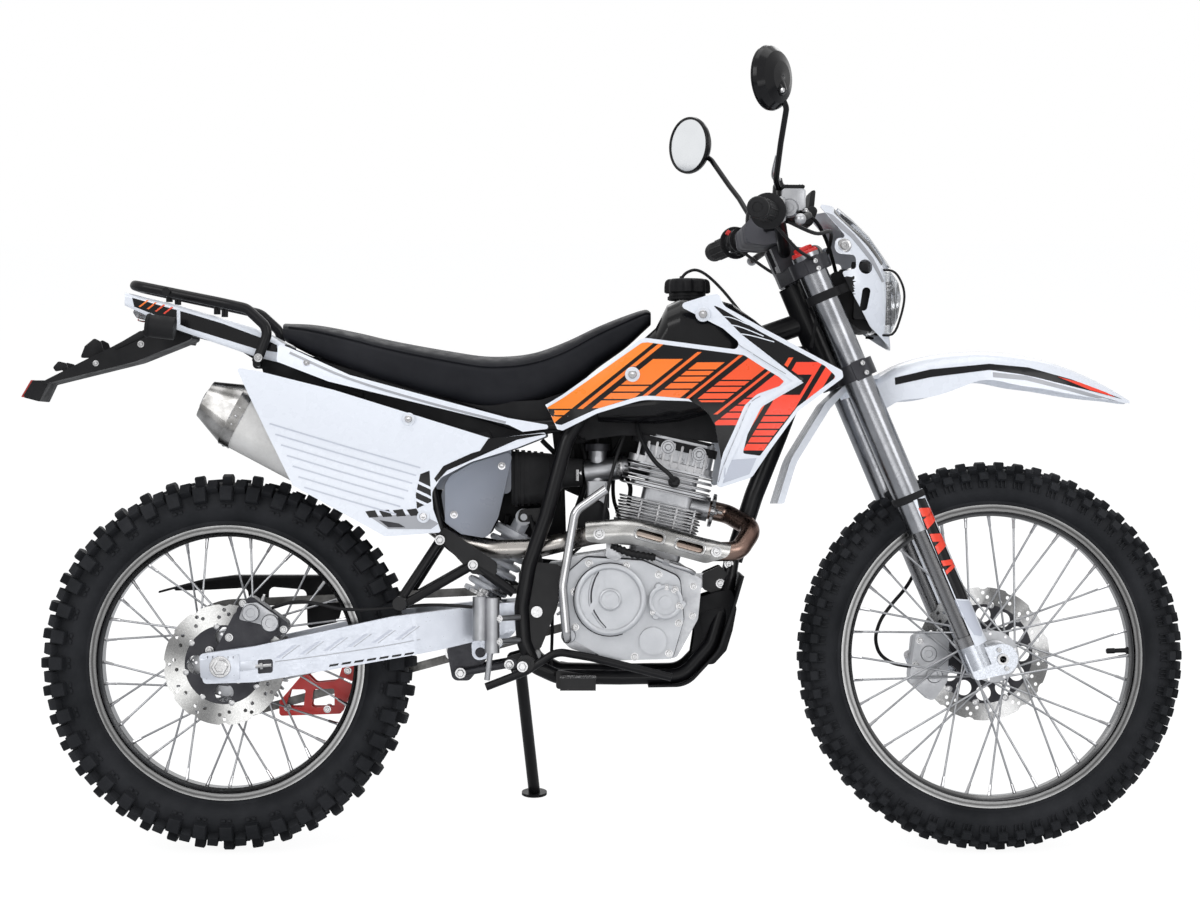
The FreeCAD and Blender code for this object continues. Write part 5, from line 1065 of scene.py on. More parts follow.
def make_fender_print():
    graphic = Print(GREY, "front_fender", ON_BARS, start=400)
    graphic.area(GREY, [(1360, 846), (1420, 841), (1500, 822), (1590, 800), (1600, 803), (1500, 829),
                        (1420, 849), (1360, 855)])
    graphic.area(BLACK, [(1186, 845), (1250, 860), (1355, 870), (1425, 864), (1505, 843), (1602, 809),
                         (1500, 832), (1440, 846), (1410, 852), (1355, 859), (1250, 846), (1186, 832)], 0.2)
    graphic.area(RED, [(1478, 848), (1520, 838), (1572, 820), (1588, 812), (1540, 824)], 0.35)
    graphic.done("fender_print", angle=60)


def make_swingarm_print():
    graphic = Print(PALE, "swingarm")
    for k in range(6):
        x, z = 96 + 42 * k, 353 + 6.6 * k
        graphic.area(PALE, [(x, z), (x + 7, z), (x + 38, z + 23), (x + 31, z + 23)])
        graphic.line(GREY, [(x + 12, z), (x + 43, z + 23)], 1.2, 0.1)
    graphic.line(GREY, [(96, 347), (180, 358), (290, 375), (350, 386)], 1.6, 0.1)
    for k in range(7):
        x, z = 190 + 22 * k, 338 + 3.3 * k
        graphic.area(BLACK, [(x, z), (x + 16, z + 2.5), (x + 18, z + 6.5), (x + 2, z + 4)], 0.2)
    graphic.done("swingarm_print", "silver_aluminium", angle=60)


def make_mask_print():
    graphic = Print(GREY, "headlight_mask", ON_BARS, 2.5, start=300)
    graphic.area(BLACK, [(1080, 1146), (1110, 1119), (1142, 1087), (1168, 1050), (1163, 1045), (1136, 1079),
                         (1104, 1111), (1077, 1137)], 0.35)
    graphic.area(GREY, [(1060, 1136), (1074, 1132), (1112, 1098), (1146, 1056), (1168, 1016),
                        (1162, 1014), (1138, 1052), (1104, 1092), (1066, 1122)])
    graphic.done("mask_print", angle=60)


# ------------------------------------------------------------------ swingarm and brakes
def make_swingarm_trim():
    """Axle blocks with their adjusters, and the rear axle's nuts, on both legs."""
    surface = surface_of("swingarm")
    shape = Shape(SILVER)
    dark = Shape(DARK)
    steel = Shape(STEEL)
    for side in SIDES:
        face = meet(surface, 44, 346, side).y
        out = (0, side, 0)
        nut = (0, face + side * 3.2, REAR_AXLE.z)
        shape.prism([(-34, 318, 5), (-36, 352, 6), (8, 358, 4), (34, 360, 4), (34, 316, 4), (2, 312, 4)],
                    face - side * 0.5, face + side * 3.2, 1.0)
        shape.prism([(34, 330, 3), (34, 347, 3), (62, 350, 3), (66, 346, 3), (66, 334, 3)],
                    face - side * 0.5, face + side * 1.6, 0.6)
        dark.prism([(66, 326, 2), (66, 350, 2), (92, 352, 5), (92, 328, 5)],
                   face - side, face + side * 0.6, 0.2)
        for k in range(6):
            dark.block((-22 + 9 * k, face + side * 3.3, 355), (1.2, 0.5, 4), 0.1)
        steel.tube([(62, face + side * 3, 339), (90, face + side * 3, 341)], 3.2)
        steel.lathe([(0, 6.2), (5, 6.2), (5.5, 5), (5.5, 0.1)], (70, face + side * 3, 339.5), (1, 0, 0.1), 6)
        steel.lathe([(0, 19), (1.6, 19), (2.4, 18), (2.6, 10), (2.6, 9.5)], nut, out, 32)
        steel.lathe([(2, 15), (9.4, 15), (10.6, 13), (10.6, 9), (7, 8.4), (7, 0.1)], nut, out,
                    6 if side < 0 else 28)
    shape.done("axle_blocks")
    dark.done("adjuster_windows")
    steel.done("axle_nuts")


def make_caliper_trim():
    rear = Shape(ALLOY)
    for x, z in ((52, 432), (86, 414)):
        rear.lathe([(-4, 15.5), (2, 15.5), (4, 14), (4, 8), (2.6, 7.5), (2.6, 0.1)], (x, -110, z), RIGHT)
    rear.prism([(30, 420, 4), (40, 448, 6), (62, 450, 4), (100, 424, 6), (96, 404, 6), (60, 414, 6)],
               -101, -105, 1.2)
    rear.done("rear_caliper_bulges")
    bolts = Shape(STEEL)
    fasten(bolts, surface_of("rear_caliper"), [(36, 448, 4.4), (108, 402, 4.4), (12, 388, 4.8)])
    bolts.lathe([(0, 3.6), (9, 3.6), (10, 2.8), (13, 2.6), (13, 0.1)], (70, -96, 452), (0.4, 0, 1), 10)
    bolts.done("rear_caliper_bolts")
    front = Shape(ALLOY, ON_BARS)
    for x, z in ((1262, 350), (1272, 312)):
        for y, out in ((42, RIGHT), (74, LEFT)):
            front.lathe([(-6, 15.5), (1.5, 15.5), (3.5, 13.5), (3.5, 7), (2.2, 6.4), (2.2, 0.1)],
                        (x, y, z), out)
    front.done("front_caliper_bulges")
    steel = Shape(STEEL, ON_BARS)
    fasten(steel, surface_of("front_caliper", ON_BARS), [(1238, 330, 4.5), (1246, 374, 4.5)], SIDES)
    steel.done("front_caliper_bolts")


# ------------------------------------------------------------------ engine
HEAD_TURN = HEAD.to_3x3()
HEAD_AHEAD, HEAD_OUT, HEAD_UP = (HEAD_TURN @ Vector(way) for way in (FORWARD, RIGHT, UP))
CLUTCH = (683, 457)
OIL_FILTER = (780, 452)
FLYWHEEL = (735, 440)
CREASE = [(667, -141.4, 512), (656, -141.8, 492), (650, -142, 468), (652, -142, 444), (664, -141.6, 422),
          (676, -141, 408)]


def make_cover_bolts():
    surface = surface_of("engine_covers engine_case")
    x, z = OIL_FILTER
    bolts = Shape(STEEL)
    fasten(bolts, surface, [
        (646, 520, 4.6), (711, 516, 4.6), (768, 500, 4.6), (796, 474, 4.4), (804, 446, 4.4),
        (803, 415, 4.6), (786, 362, 4.6), (726, 356, 4.6), (620, 470, 4.6), (622, 408, 4.6),
        (664, 358, 4.6), (830, 478, 4.2), (828, 426, 4.2), (x - 22, z - 18, 3.6), (x + 26, z - 8, 3.6),
        (x + 2, z + 26, 3.6)])
    x, z = FLYWHEEL
    fasten(bolts, surface, [(x + a, z + b, 4.4) for a, b in circle(8, 60, 0.3)], (1,))
    bolts.done("cover_bolts")


def make_cover_rings():
    """Raised rings and bosses cast on the engine's covers."""
    (x, z), cast = CLUTCH, Shape(COVER)
    cast.collar([(0, 62.6), (0, 54), (1.2, 53), (2.6, 54.5), (3.4, 57), (2.6, 60.5), (1.2, 62.6)],
                (x, -144.5, z), RIGHT, 64)
    cast.collar([(0, 19.5), (0.2, 15.5), (1.8, 15), (2.6, 16.5), (1.8, 19)], (x, -145.4, z), RIGHT, 36)
    cast.lathe([(0, 9), (0.6, 8.6), (0.9, 0.1)], (x, -145.6, z), RIGHT, 24)
    cast.tube([(x - 3, y, z) for x, y, z in CREASE], 2.2, 10, 5)
    x, z = OIL_FILTER
    cast.collar([(0, 30.5), (0, 24), (1.2, 23.2), (2.2, 25), (2.2, 28.6), (1.2, 30.5)],
                (x, -133.4, z), RIGHT, 40)
    for k in range(3):
        a = 2.0 + 2.09 * k
        cast.lathe([(0, 6.4), (14, 6.4), (15, 5.4), (15, 0.1)],
                   (x + 30 * math.cos(a), -120, z + 30 * math.sin(a)), RIGHT, 14)
    cast.lathe([(0, 13), (6, 13), (8, 11.5), (8, 0.1)], (610, -121, 393), RIGHT, 26)
    x, z = FLYWHEEL
    cast.collar([(0, 66.4), (0, 58), (1.4, 57), (2.6, 58.6), (2.6, 64), (1.4, 66.4)], (x, 127.4, z), LEFT, 64)
    cast.lathe([(0, 24), (2.2, 24), (3, 22.8), (3, 12), (1.8, 11), (1.8, 0.1)], (x, 127.4, z), LEFT, 40)
    cast.prism([(668, 470, 8), (662, 500, 10), (600, 492, 16), (588, 450, 16), (600, 404, 16), (650, 392, 16),
                (664, 410, 8)], 96, 112, 3)
    cast.done("cover_rings")


def make_gaskets_and_shade_lines():
    # dark lines: painted shade along the cover's crease and round the clutch cover's rim, and dark joints
    # round the covers
    seal = Shape(DARK)
    # painted shade beside the cast crease
    seal.tube(CREASE, 1.5, 8, 5)
    # painted shade round the clutch cover's raised rim
    x, z = CLUTCH
    seal.tube([(x + 64 * math.cos(a), -141.2, z + 64 * math.sin(a)) for a in
               (math.radians(70 + 10 * k) for k in range(23))], 0.9, 6)
    # dark joints round the covers
    seal.prism([(604, 501, 31), (640, 532, 21), (740, 526, 31), (807, 496, 21), (814, 420, 21),
                (794, 350, 11), (680, 347, 21), (610, 389, 31)], -92.2, -93.6)
    seal.prism([(592, 463, 30), (610, 531, 20), (700, 544, 20), (800, 521, 20), (846, 490, 10),
                (839, 420, 20), (801, 351, 10), (680, 347, 20), (600, 371, 30)], -20, -21.6)
    seal.done("gaskets_and_shade_lines")


def make_engine_hoses():
    """The clutch cable's pleated boot, the plug's cap and lead, and hoses round the engine."""
    black = Shape(HOSE)
    black.tube([(686, -128, 552), (700, -131, 545), (720, -133, 537), (742, -132, 533), (762, -131, 530)],
               lambda t: 6.4 + 1.0 * math.sin(t * 62), 12, 14)
    black.lathe([(0, 9), (4, 10.5), (16, 10.5), (20, 8.5), (40, 7.6), (44, 5), (44, 0.1)],
                HEAD @ Vector((3, -88, 137)), HEAD_OUT, 18)
    black.tubes([
        (3.2, 10, 8, [(676, -110, 560), (672, -60, 600), (690, -40, 690), (730, -30, 800)]),
        (4.0, 12, 8, [HEAD @ Vector((3, -126, 137)), (786, -140, 676), (760, -112, 700), (735, -72, 745),
                      (728, -48, 790)]),
        (4.2, 12, 6, [(661, -3, 730), (663, -2, 752), (680, 2, 778), (705, 6, 800)]),
        (3.0, 10, 6, [(661, -6, 602), (656, -20, 572), (632, -52, 548), (604, -62, 520), (584, -60, 470),
                      (580, -52, 380), (578, -50, 320)]),
        (3.6, 10, 6, [(716, 30, 770), (700, 36, 735), (684, 30, 706), (672, 18, 694)]),
        (5, 10, 6, [(500, 30, 600), (486, 40, 540), (480, 44, 480), (486, 46, 420), (500, 46, 380)])])
    black.done("engine_hoses")


def make_head_fittings():
    """Clutch cable end, valve caps, and the nuts of the head, its cover and the barrel."""
    silver = Shape(ALLOY)
    silver.tube([(762, -131, 530), (790, -133, 518), (820, -131, 508), (830, -124, 502)], 4.2, 12, 4)
    silver.lathe([(0, 6.4), (10, 6.4), (11, 5.6), (11, 4.2)], (776, -132, 524), (1, 0, -0.4), 6)
    silver.prism([(676, 556, 3), (676, 530, 3), (700, 524, 8), (704, 534, 8), (690, 560, 3)], -126, -122, 1)
    for x in (-20, 36):
        place = HEAD @ Vector((x, -68, 194))
        silver.lathe([(-1, 11), (1.5, 11), (2.5, 10), (2.5, 7)], place, HEAD_OUT, 24)
        silver.lathe([(1, 6.5), (6, 6.5), (7, 5.4), (7, 0.1)], place, HEAD_OUT, 6)
    nuts = [((x, -56, 176), HEAD_OUT, 4.6, 4) for x in (-52, -28, 8, 50)]
    nuts += [((x, y, 211.6), HEAD_UP, 5.4, 5) for x in (-54, -18, 18, 54) for y in (-44, 44)]
    nuts += [((x, y, 158), HEAD_UP, 6, 9) for x in (-52, 52) for y in (-52, 52)]
    for spot, out, size, height in nuts:
        silver.hexagon(HEAD @ Vector(spot), out, size, height)
    silver.done("head_fittings")


def make_pipe_fittings():
    """The exhaust's flange, the intake's clips, and the heat shield's bolts and slot rims."""
    steel = Shape(STEEL)
    outlet = HEAD @ Vector((80, -20, 102))
    steel.lathe([(0, 30), (5, 30), (6, 29), (6, 21)], outlet, HEAD_AHEAD, 36)
    for y in (-27, 27):
        spot = outlet + HEAD_TURN @ Vector((0, y, 0))
        steel.lathe([(-1, 9), (6, 9), (7, 8), (7, 4)], spot, HEAD_AHEAD, 24)
        steel.hexagon(spot + HEAD_AHEAD * 6, HEAD_AHEAD, 5.6, 6)
        steel.tube([spot, spot + HEAD_AHEAD * 20], 3)
    for x, z, rise in ((628, 677, 0.04), (701, 687, 0.15)):
        steel.collar([(-4, 24.5), (-4, 23), (4, 23), (4, 24.5)], (x, 0, z), (1, 0, rise), 40)
        steel.tube([(x - 3, -26, z + 6), (x - 3, -26, z - 14)], 3.4, 8)
    for x, z, size in ((664, 572, 6.8), (868, 541, 6.4)):
        steel.bolt((x, -152.6, z), RIGHT, size)
    surface = surface_of("heat_shield")
    fall = Matrix.Rotation(math.radians(15), 4, "Y")
    for x, z in ((752, 569), (822, 550)):
        path = []
        for corner in rounded([(-27, -10, 9), (27, -10, 9), (27, 10, 9), (-27, 10, 9)]):
            spot = Vector((x, 0, z)) + fall @ Vector((corner.x, 0, corner.y))
            path.append(meet(surface, spot.x, spot.z))
        steel.tube(path + path[:1], 1.7, 8, caps=False)
    steel.done("pipe_fittings")


def make_silencer_trim():
    """Rivets round the end cap, the can's bands and the rolled mouth."""
    place = Matrix.Translation(CAN_END) @ Matrix.Rotation(CAN_FALL, 4, "Y")
    turn = place.to_3x3()
    mouth = place @ Vector((-56, 0, 0))
    back = turn @ Vector((-1, 0, 0))
    wide, tall = 44.0, 59.0  # half sizes of the can's oval
    steel = Shape(CHROME)
    for y, z in circle(22, 1):
        steel.lathe([(-0.6, 2.6), (0.8, 2.3), (1.4, 1.2), (1.5, 0.1)],
                    place @ Vector((10, wide * y, tall * z)), turn @ Vector((0, y / wide, z / tall)), 8)
    for at in (0.6, 19.4, 297):
        band = [place @ Vector((at, (wide - 0.4) * y, (tall - 0.4) * z)) for y, z in circle(72, 1)]
        steel.tube(band + band[:1], 0.9, 6, caps=False)
    steel.collar([(-1, 19.6), (-1, 17.2), (1, 16.6), (3, 18), (2, 20)], mouth, back, 40)
    steel.done("silencer_rivets")
    # a black tube, closed 40 mm inside the mouth, so that the bore reads dark
    dark_bore = Shape(MOULDED)
    dark_bore.lathe([(0, 17.2), (-40, 16.8), (-40, 0.1)], mouth, back, 32)
    dark_bore.done("silencer_bore")


def rounded_box(shape, half_x, half_y, low, high, radius, shift):
    """A plate in the head's own frame with rounded upright corners and eased rims."""
    rings = []
    ease = min(0.7, (high - low) / 3)
    for z, grow in ((low, -ease), (low + ease, 0), (high - ease, 0), (high, -ease)):
        points = []
        for turn, sx, sy in ((0, 1, 1), (1, -1, 1), (2, -1, -1), (3, 1, -1)):
            for k in range(6):
                a = math.pi / 2 * (turn + k / 5)
                points.append((shift + sx * (half_x - radius) + (radius + grow) * math.cos(a),
                               sy * (half_y - radius) + (radius + grow) * math.sin(a), z))
        rings.append(shape.ring(HEAD @ Vector(point) for point in points))
    shape.skin(rings)


def make_fins():
    """Thin cast fins and the ribbed head, wider than the barrel that carries them."""
    fins = Shape(FIN)
    for k in range(8):
        rounded_box(fins, 76, 66, 14.6 + 11 * k, 17.4 + 11 * k, 20, -9)
    for k in range(7):
        rounded_box(fins, 74, 64, 20.2 + 11 * k, 22.6 + 11 * k, 20, -9)
    for k in range(5):
        rounded_box(fins, 80, 70, 116 + 9 * k, 119 + 9 * k, 22, -8)
    rounded_box(fins, 76, 64, 158, 171, 20, -8)
    for k in range(9):
        x, top = -70 + 15 * k, 204 - abs(k - 4) * 2
        fins.pair([(x - 2, 160, 1.5), (x - 2, top, 2), (x + 2.4, top, 2), (x + 2.4, 160, 1.5)],
                  52, 66, 1.2, HEAD)
    for x in (-44, -12, 20, 52):
        fins.prism([(x - 1.5, 14, 1), (x - 1.5, 96, 1), (x + 1.5, 96, 1), (x + 1.5, 14, 1)],
                   -64.5, -60, 0.6, HEAD)
    fins.done("cooling_fins")
    top = Shape(MOULDED)
    rounded_box(top, 76, 64, 192, 207, 20, -8)
    rounded_box(top, 66, 54, 206, 218, 18, -6)
    top.done("head_top", "black_aluminium")


def make_engine_guards():
    """Bent plates between the engine case and the cradle, and the starter behind the barrel."""
    plates = Shape(MOULDED)
    plates.pair([(824, 450, 6), (872, 466, 8), (900, 470, 8), (908, 436, 8), (901, 398, 12), (890, 362, 12),
                 (868, 338, 8), (824, 334, 6), (833, 392, 12)], 50, 54, 1.4)
    plates.pair([(842, 428, 8), (888, 440, 8), (880, 386, 10), (862, 356, 8), (840, 354, 6), (848, 392, 12)],
                53.5, 56, 1.0)
    plates.done("engine_guards")
    starter = Shape(MOULDED)
    starter.lathe([(-46, 12), (-46, 24), (-42, 30), (-30, 31.5), (-29, 33), (36, 33), (37, 31.5), (46, 30),
                   (50, 24), (50, 12)], (650, 0, 598), LEFT, 32)
    starter.done("starter_motor", "black_aluminium")


# ------------------------------------------------------------------ frame and panels
def make_frame_trim():
    """Bolts of the frame and the panels, with the panels' washers."""
    steel = Shape(STEEL)
    surface = surface_of("main_frame subframe suspension_linkage foot_pegs rear_master_cylinder"
                         " foot_controls swingarm")
    fasten(steel, surface, [(384, 560, 6.5), (442, 516, 6.5), (417, 321, 7), (504, 337, 6.5), (530, 340, 7)],
           SIDES, True)
    fasten(steel, surface, [(489, 424, 4.4), (489, 384, 4.4), (895, 515, 5.5), (880, 480, 5.5)])
    steel.done("frame_bolts")
    surface = surface_of("airbox side_panels shrouds rear_fender plate_holder chain_guide skid_plate"
                         " chain_guard")
    panel = Shape(CHROME)
    washer = Shape(WHITE)
    for side in SIDES:
        for x, z, size in ((845, 955, 7.5), (722, 850, 7.5), (331, 772, 6.5), (357, 602, 6.5)):
            spot = meet(surface, x, z, side)
            washer.lathe([(-1, size * 1.75), (1.0, size * 1.75), (2.2, size * 1.6), (2.4, size * 1.05)],
                         spot, (0, side, 0), 32)
            panel.bolt(spot + Vector((0, side * 1.2, 0)), (0, side, 0), size, False)
    fasten(panel, surface, [(492, 690, 4.5), (408, 604, 4.5), (150, 870, 4.0)], SIDES)
    panel.done("panel_bolts")
    washer.done("panel_washers")
    small = Shape(STEEL)
    fasten(small, surface_of("chain_guide"), [(99, 251, 4.5), (171, 248, 4.5), (208, 318, 4.5)], SIDES)
    small.done("guide_bolts")


def make_inner_covers():
    """Black inner panels under the seat and the tank."""
    shape = Shape(MOULDED)
    shape.pair([(66, 902, 6), (104, 898, 6), (232, 858, 30), (380, 816, 30), (470, 802, 20),
                (560, 806, 20), (640, 832, 10), (640, 770, 20), (600, 752, 10), (500, 736, 10),
                (420, 712, 20), (388, 690, 20), (372, 726, 20), (300, 770, 40), (180, 812, 30),
                (70, 852, 10)], 78, 82, 1.4)
    shape.pair([(420, 742, 6), (470, 752, 6), (478, 730, 6), (430, 716, 6)], 82, 88, 2)
    shape.pair([(180, 842, 8), (250, 820, 8), (244, 806, 8), (176, 828, 8)], 82, 86, 2)
    shape.prism([(572, 806, 8), (590, 650, 20), (640, 628, 10), (668, 640, 8), (690, 676, 10), (752, 690, 8),
                 (752, 806, 8)], 60, 63, 1.2)
    shape.prism([(436, 704, 8), (600, 708, 8), (604, 566, 10), (568, 526, 12), (520, 548, 20),
                 (468, 606, 20)], 46, 49, 1.2)
    shape.prism([(630, 734, 14), (700, 744, 20), (800, 742, 20), (878, 730, 14), (908, 752, 10),
                 (906, 800, 12), (870, 812, 20), (740, 822, 30), (660, 800, 20), (612, 776, 12)],
                -56, 56, 8, None, 5, 3)
    shape.done("inner_side_covers")


def make_electrics():
    """Coil, relay and loom between the airbox, the tank and the head."""
    box = Shape(MOULDED)
    box.prism([(598, 742, 8), (598, 770, 8), (650, 784, 8), (664, 768, 8), (656, 736, 8), (620, 728, 8)],
              18, 58, 5)
    box.prism([(690, 700, 8), (684, 768, 10), (736, 782, 8), (748, 730, 8), (726, 694, 10)], 34, 74, 5)
    box.prism([(598, 640, 8), (590, 716, 10), (616, 726, 8), (626, 660, 10)], 40, 88, 4)
    for z in (752, 760):
        box.prism([(600, z, 1), (600, z + 3, 1), (656, z + 13, 1), (656, z + 10, 1)], 15.5, 19, 0.8)
    box.done("electric_boxes")
    loom = Shape(HOSE)
    loom.tubes([
        (5.5, 12, 6, [(628, 30, 745), (640, 20, 700), (636, 28, 650), (620, 40, 600), (612, 44, 560)]),
        (4.2, 10, 6, [(705, 40, 700), (712, 20, 672), (720, 6, 650), (716, -8, 620)]),
        (3.6, 10, 6, [(700, 44, 704), (690, 34, 668), (690, 20, 630), (700, 6, 596), (700, -10, 566)]),
        (4.0, 10, 6, [(655, 34, 748), (672, 18, 742), (690, 10, 752), (712, 14, 772)]),
        (4.5, 10, 6, [(560, 40, 736), (590, 44, 700), (596, 48, 640), (590, 52, 590), (596, 54, 540)]),
        (3.4, 10, 6, [(540, -30, 600), (552, -46, 560), (560, -66, 520), (556, -74, 480)])])
    loom.done("wiring_loom")


def make_left_side():
    """The chain side: sprocket cover and the gear lever's rubber."""
    cover = Shape(MOULDED)
    cover.prism([(566, 470, 10), (590, 500, 14), (640, 506, 14), (664, 486, 10), (660, 470, 8),
                 (612, 478, 20), (588, 452, 14), (572, 452, 6)], 58, 96, 3)
    cover.done("sprocket_cover")
    ribs = [(-18 + 4 * k, 10.6 if k % 2 else 9.4) for k in range(10)]
    pad = Shape(RUBBER)
    pad.lathe([(-22, 7), (-22, 10), (-20, 10.6), *ribs, (22, 10), (22, 7)], (800, 156, 352), LEFT, 18)
    pad.done("shift_pad")


def make_breather_hose():
    hose = Shape(HOSE)
    hose.tube([(812, 0, 1021), (813, 0, 1028), (822, 0, 1037), (838, 0, 1041), (858, -1, 1031),
               (884, -3, 1006), (912, -5, 972), (934, -6, 945), (941, -6, 930)], 2.8, 12, 8)
    hose.lathe([(0, 5.6), (5, 5.6), (7, 4), (10, 3.6)], (812, 0, 1020), UP, 16)
    hose.done("breather_hose")


def make_fuel_cap():
    """A moulded cap with eight lobes, on a finely ribbed neck."""
    cap = Shape(MOULDED)
    x, neck = 822, 990
    rings = []
    for height, grow in ((999, 0.93), (1001, 1.0), (1010, 1.0), (1018, 0.98), (1022, 0.93), (1024.5, 0.84),
                         (1025.4, 0.62), (1024.6, 0.5), (1024.6, 0.05)):
        points = []
        for k in range(120):
            a = 2 * math.pi * k / 120
            lobe = 2.9 * math.tanh(2.2 * math.cos(8 * a)) if grow > 0.8 else 0
            reach = (38.5 + lobe) * grow
            points.append((x + reach * math.cos(a), reach * math.sin(a), height))
        rings.append(cap.ring(points))
    cap.skin(rings)
    cap.lathe([(-4, 33), (-2, 35.5), (2, 35.5), (4, 33), (10, 33)], (x, 0, neck), UP, 48)
    for a, b in circle(16, 35.2, 0.5):
        cap.block((x + a, b, neck), (1.6, 1.6, 6), 0.4)
    cap.done("lobed_cap", replaces=("fuel_cap",))


def make_tail_trim():
    """Reflector and lamp ribs, the fender's liner and hooks, the indicators' rings, and bolts."""
    lens = Shape(REFLECTOR)
    lens.prism([(-365, 812.5, 1), (-347.5, 842.5, 1), (-341, 842.5, 1), (-358, 811.5, 1)], -44, 44, 0.8)
    for k in range(5):
        z = 950 + 4.6 * k
        lens.tube([(-158 + 1.4 * k, -34, z), (-162 + 1.2 * k, 0, z), (-158 + 1.4 * k, 34, z)], 1.5, 8, 4)
    lens.done("tail_lens_ribs")
    dark = Shape(MOULDED)
    dark.prism([(-80, 925, 6), (0, 912, 14), (50, 880, 12), (128, 850, 6), (122, 870, 6), (60, 894, 10),
                (0, 926, 10), (-80, 944, 6)], -66, 66, 2)
    dark.pair([(-196, 896, 3), (-196, 903, 3), (-150, 930, 3), (-140, 922, 3)], 54, 58, 1)
    dark.pair([(-218, 893, 3), (-224, 911, 3), (-235, 917, 4), (-252, 903, 4), (-260, 882, 3),
               (-240, 882, 3)], 35, 42, 1.4)
    dark.pair([(-282, 862, 2), (-286, 873, 3), (-299, 876, 3), (-309, 865, 3), (-304, 858, 2)], 35, 42, 1.2)
    for side in SIDES:
        for x, size in ((-124, 21.5), (-80, 18)):
            dark.collar([(-1.6, size - 1.4), (-1.6, size), (1.6, size), (1.6, size - 1.4)],
                        (x, side * 132, 936 - (x + 128) * 0.12), (1, 0, -0.12), 30)
        for k in range(5):
            dark.collar([(-1.2, 6), (-1.2, 8), (1.2, 8), (1.2, 6)], (-102, side * (72 + 9 * k), 931),
                        LEFT, 16)
    dark.done("tail_liner")
    bolts = Shape(STEEL)
    surface = surface_of("plate_holder luggage_rack rear_fender subframe")
    fasten(bolts, surface, [(-150, 906, 4), (-230, 872, 3.6), (66, 880, 5)], SIDES)
    for x in (-283, -240):
        for y in (-30, 30):
            spot = surface.ray_cast(Vector((x, y, 1500)), Vector(DOWN), 1500)[0]
            bolts.lathe([(-1, 4), (1.4, 3.8), (2, 2.6), (2, 0.1)], spot, (-0.4, 0, 1), 12)
    bolts.done("tail_bolts")


# ------------------------------------------------------------------ bars and mask
BAR_END = Vector((906, 405, 1110))
BAR_HEADING = (BAR_END - Vector((967, 160, 1124))).normalized()
PAD_SPOT = shifted(955, 0, 1106)
PAD_OUTLINE = [(-36, -24, 8), (-40, 6, 10), (-20, 27, 10), (24, 27, 10), (37, 4, 10), (30, -22, 8),
               (0, -27, 10)]


def along_bar(side):
    """The way out along the end of the bar, on the left (1) or the right (-1)."""
    return Vector((BAR_HEADING.x, BAR_HEADING.y * side, BAR_HEADING.z))


def on_bar(back, side, offset=(0, 0, 0)):
    """A point beside the bar, some way back from its end on the left (1) or the right (-1)."""
    spot = BAR_END - BAR_HEADING * back
    return Vector((spot.x, spot.y * side, spot.z)) + Vector(offset)


def make_grips():
    rows = [(-126, 12), (-126, 29.5), (-124.5, 31), (-122, 31), (-120.5, 28), (-118, 18.2)]
    for k in range(17):
        at = -114 + 5.6 * k
        rows += [(at, 17.4), (at + 0.8, 18.6), (at + 3.4, 18.6), (at + 4.2, 17.4)]
    rows += [(-16, 17.6), (-8, 18.8), (-2, 18.8), (2, 18.2), (4.5, 16.0), (5, 9), (3.4, 8.4), (3.4, 0.1)]
    shape = Shape(RUBBER, ON_BARS)
    for side in SIDES:
        shape.lathe(rows, on_bar(0, side), along_bar(side), 30)
        turn = facing(on_bar(0, side), along_bar(side))
        for x, y in circle(10, 18.7):
            shape.tube([turn @ Vector((x, y, height)) for height in (-114, -70, -22)], 1.1, 6)
    shape.done("ribbed_grips", replaces=("grips",))


def add_reservoir(silver, black, steel):
    """The front brake's cylinder and its square reservoir, on the right."""
    silver.lathe([(-30, 12), (-30, 15), (-24, 16), (26, 16), (30, 14), (30, 8), (34, 8), (34, 0.1)],
                 on_bar(166, -1, (34, 0, 6)), along_bar(-1), 24)
    silver.prism([(-20, -17, 6), (-20, 20, 4), (20, 20, 4), (20, -17, 6)], -24, 24, 3,
                 shifted(*on_bar(166, -1, (36, 0, 18))))
    black.prism([(-19, 0, 3), (-19, 6, 3), (19, 6, 3), (19, 0, 3)], -23, 23, 1.6,
                shifted(*on_bar(166, -1, (36, 0, 38.5))))
    for x in (23, 49):
        for y in (-17, 17):
            steel.lathe([(0, 3.4), (1.4, 3.2), (1.8, 2.2), (1.8, 0.1)], on_bar(166, -1, (x, y, 44.4)),
                        UP, 12)
    for z in (-12, 16):
        silver.lathe([(-6, 8.5), (8, 8.5), (10, 7), (10, 0.1)], on_bar(166, -1, (14, -18, z)), RIGHT, 20)
        steel.bolt(on_bar(166, -1, (14, -28, z)), RIGHT, 4.6, False)


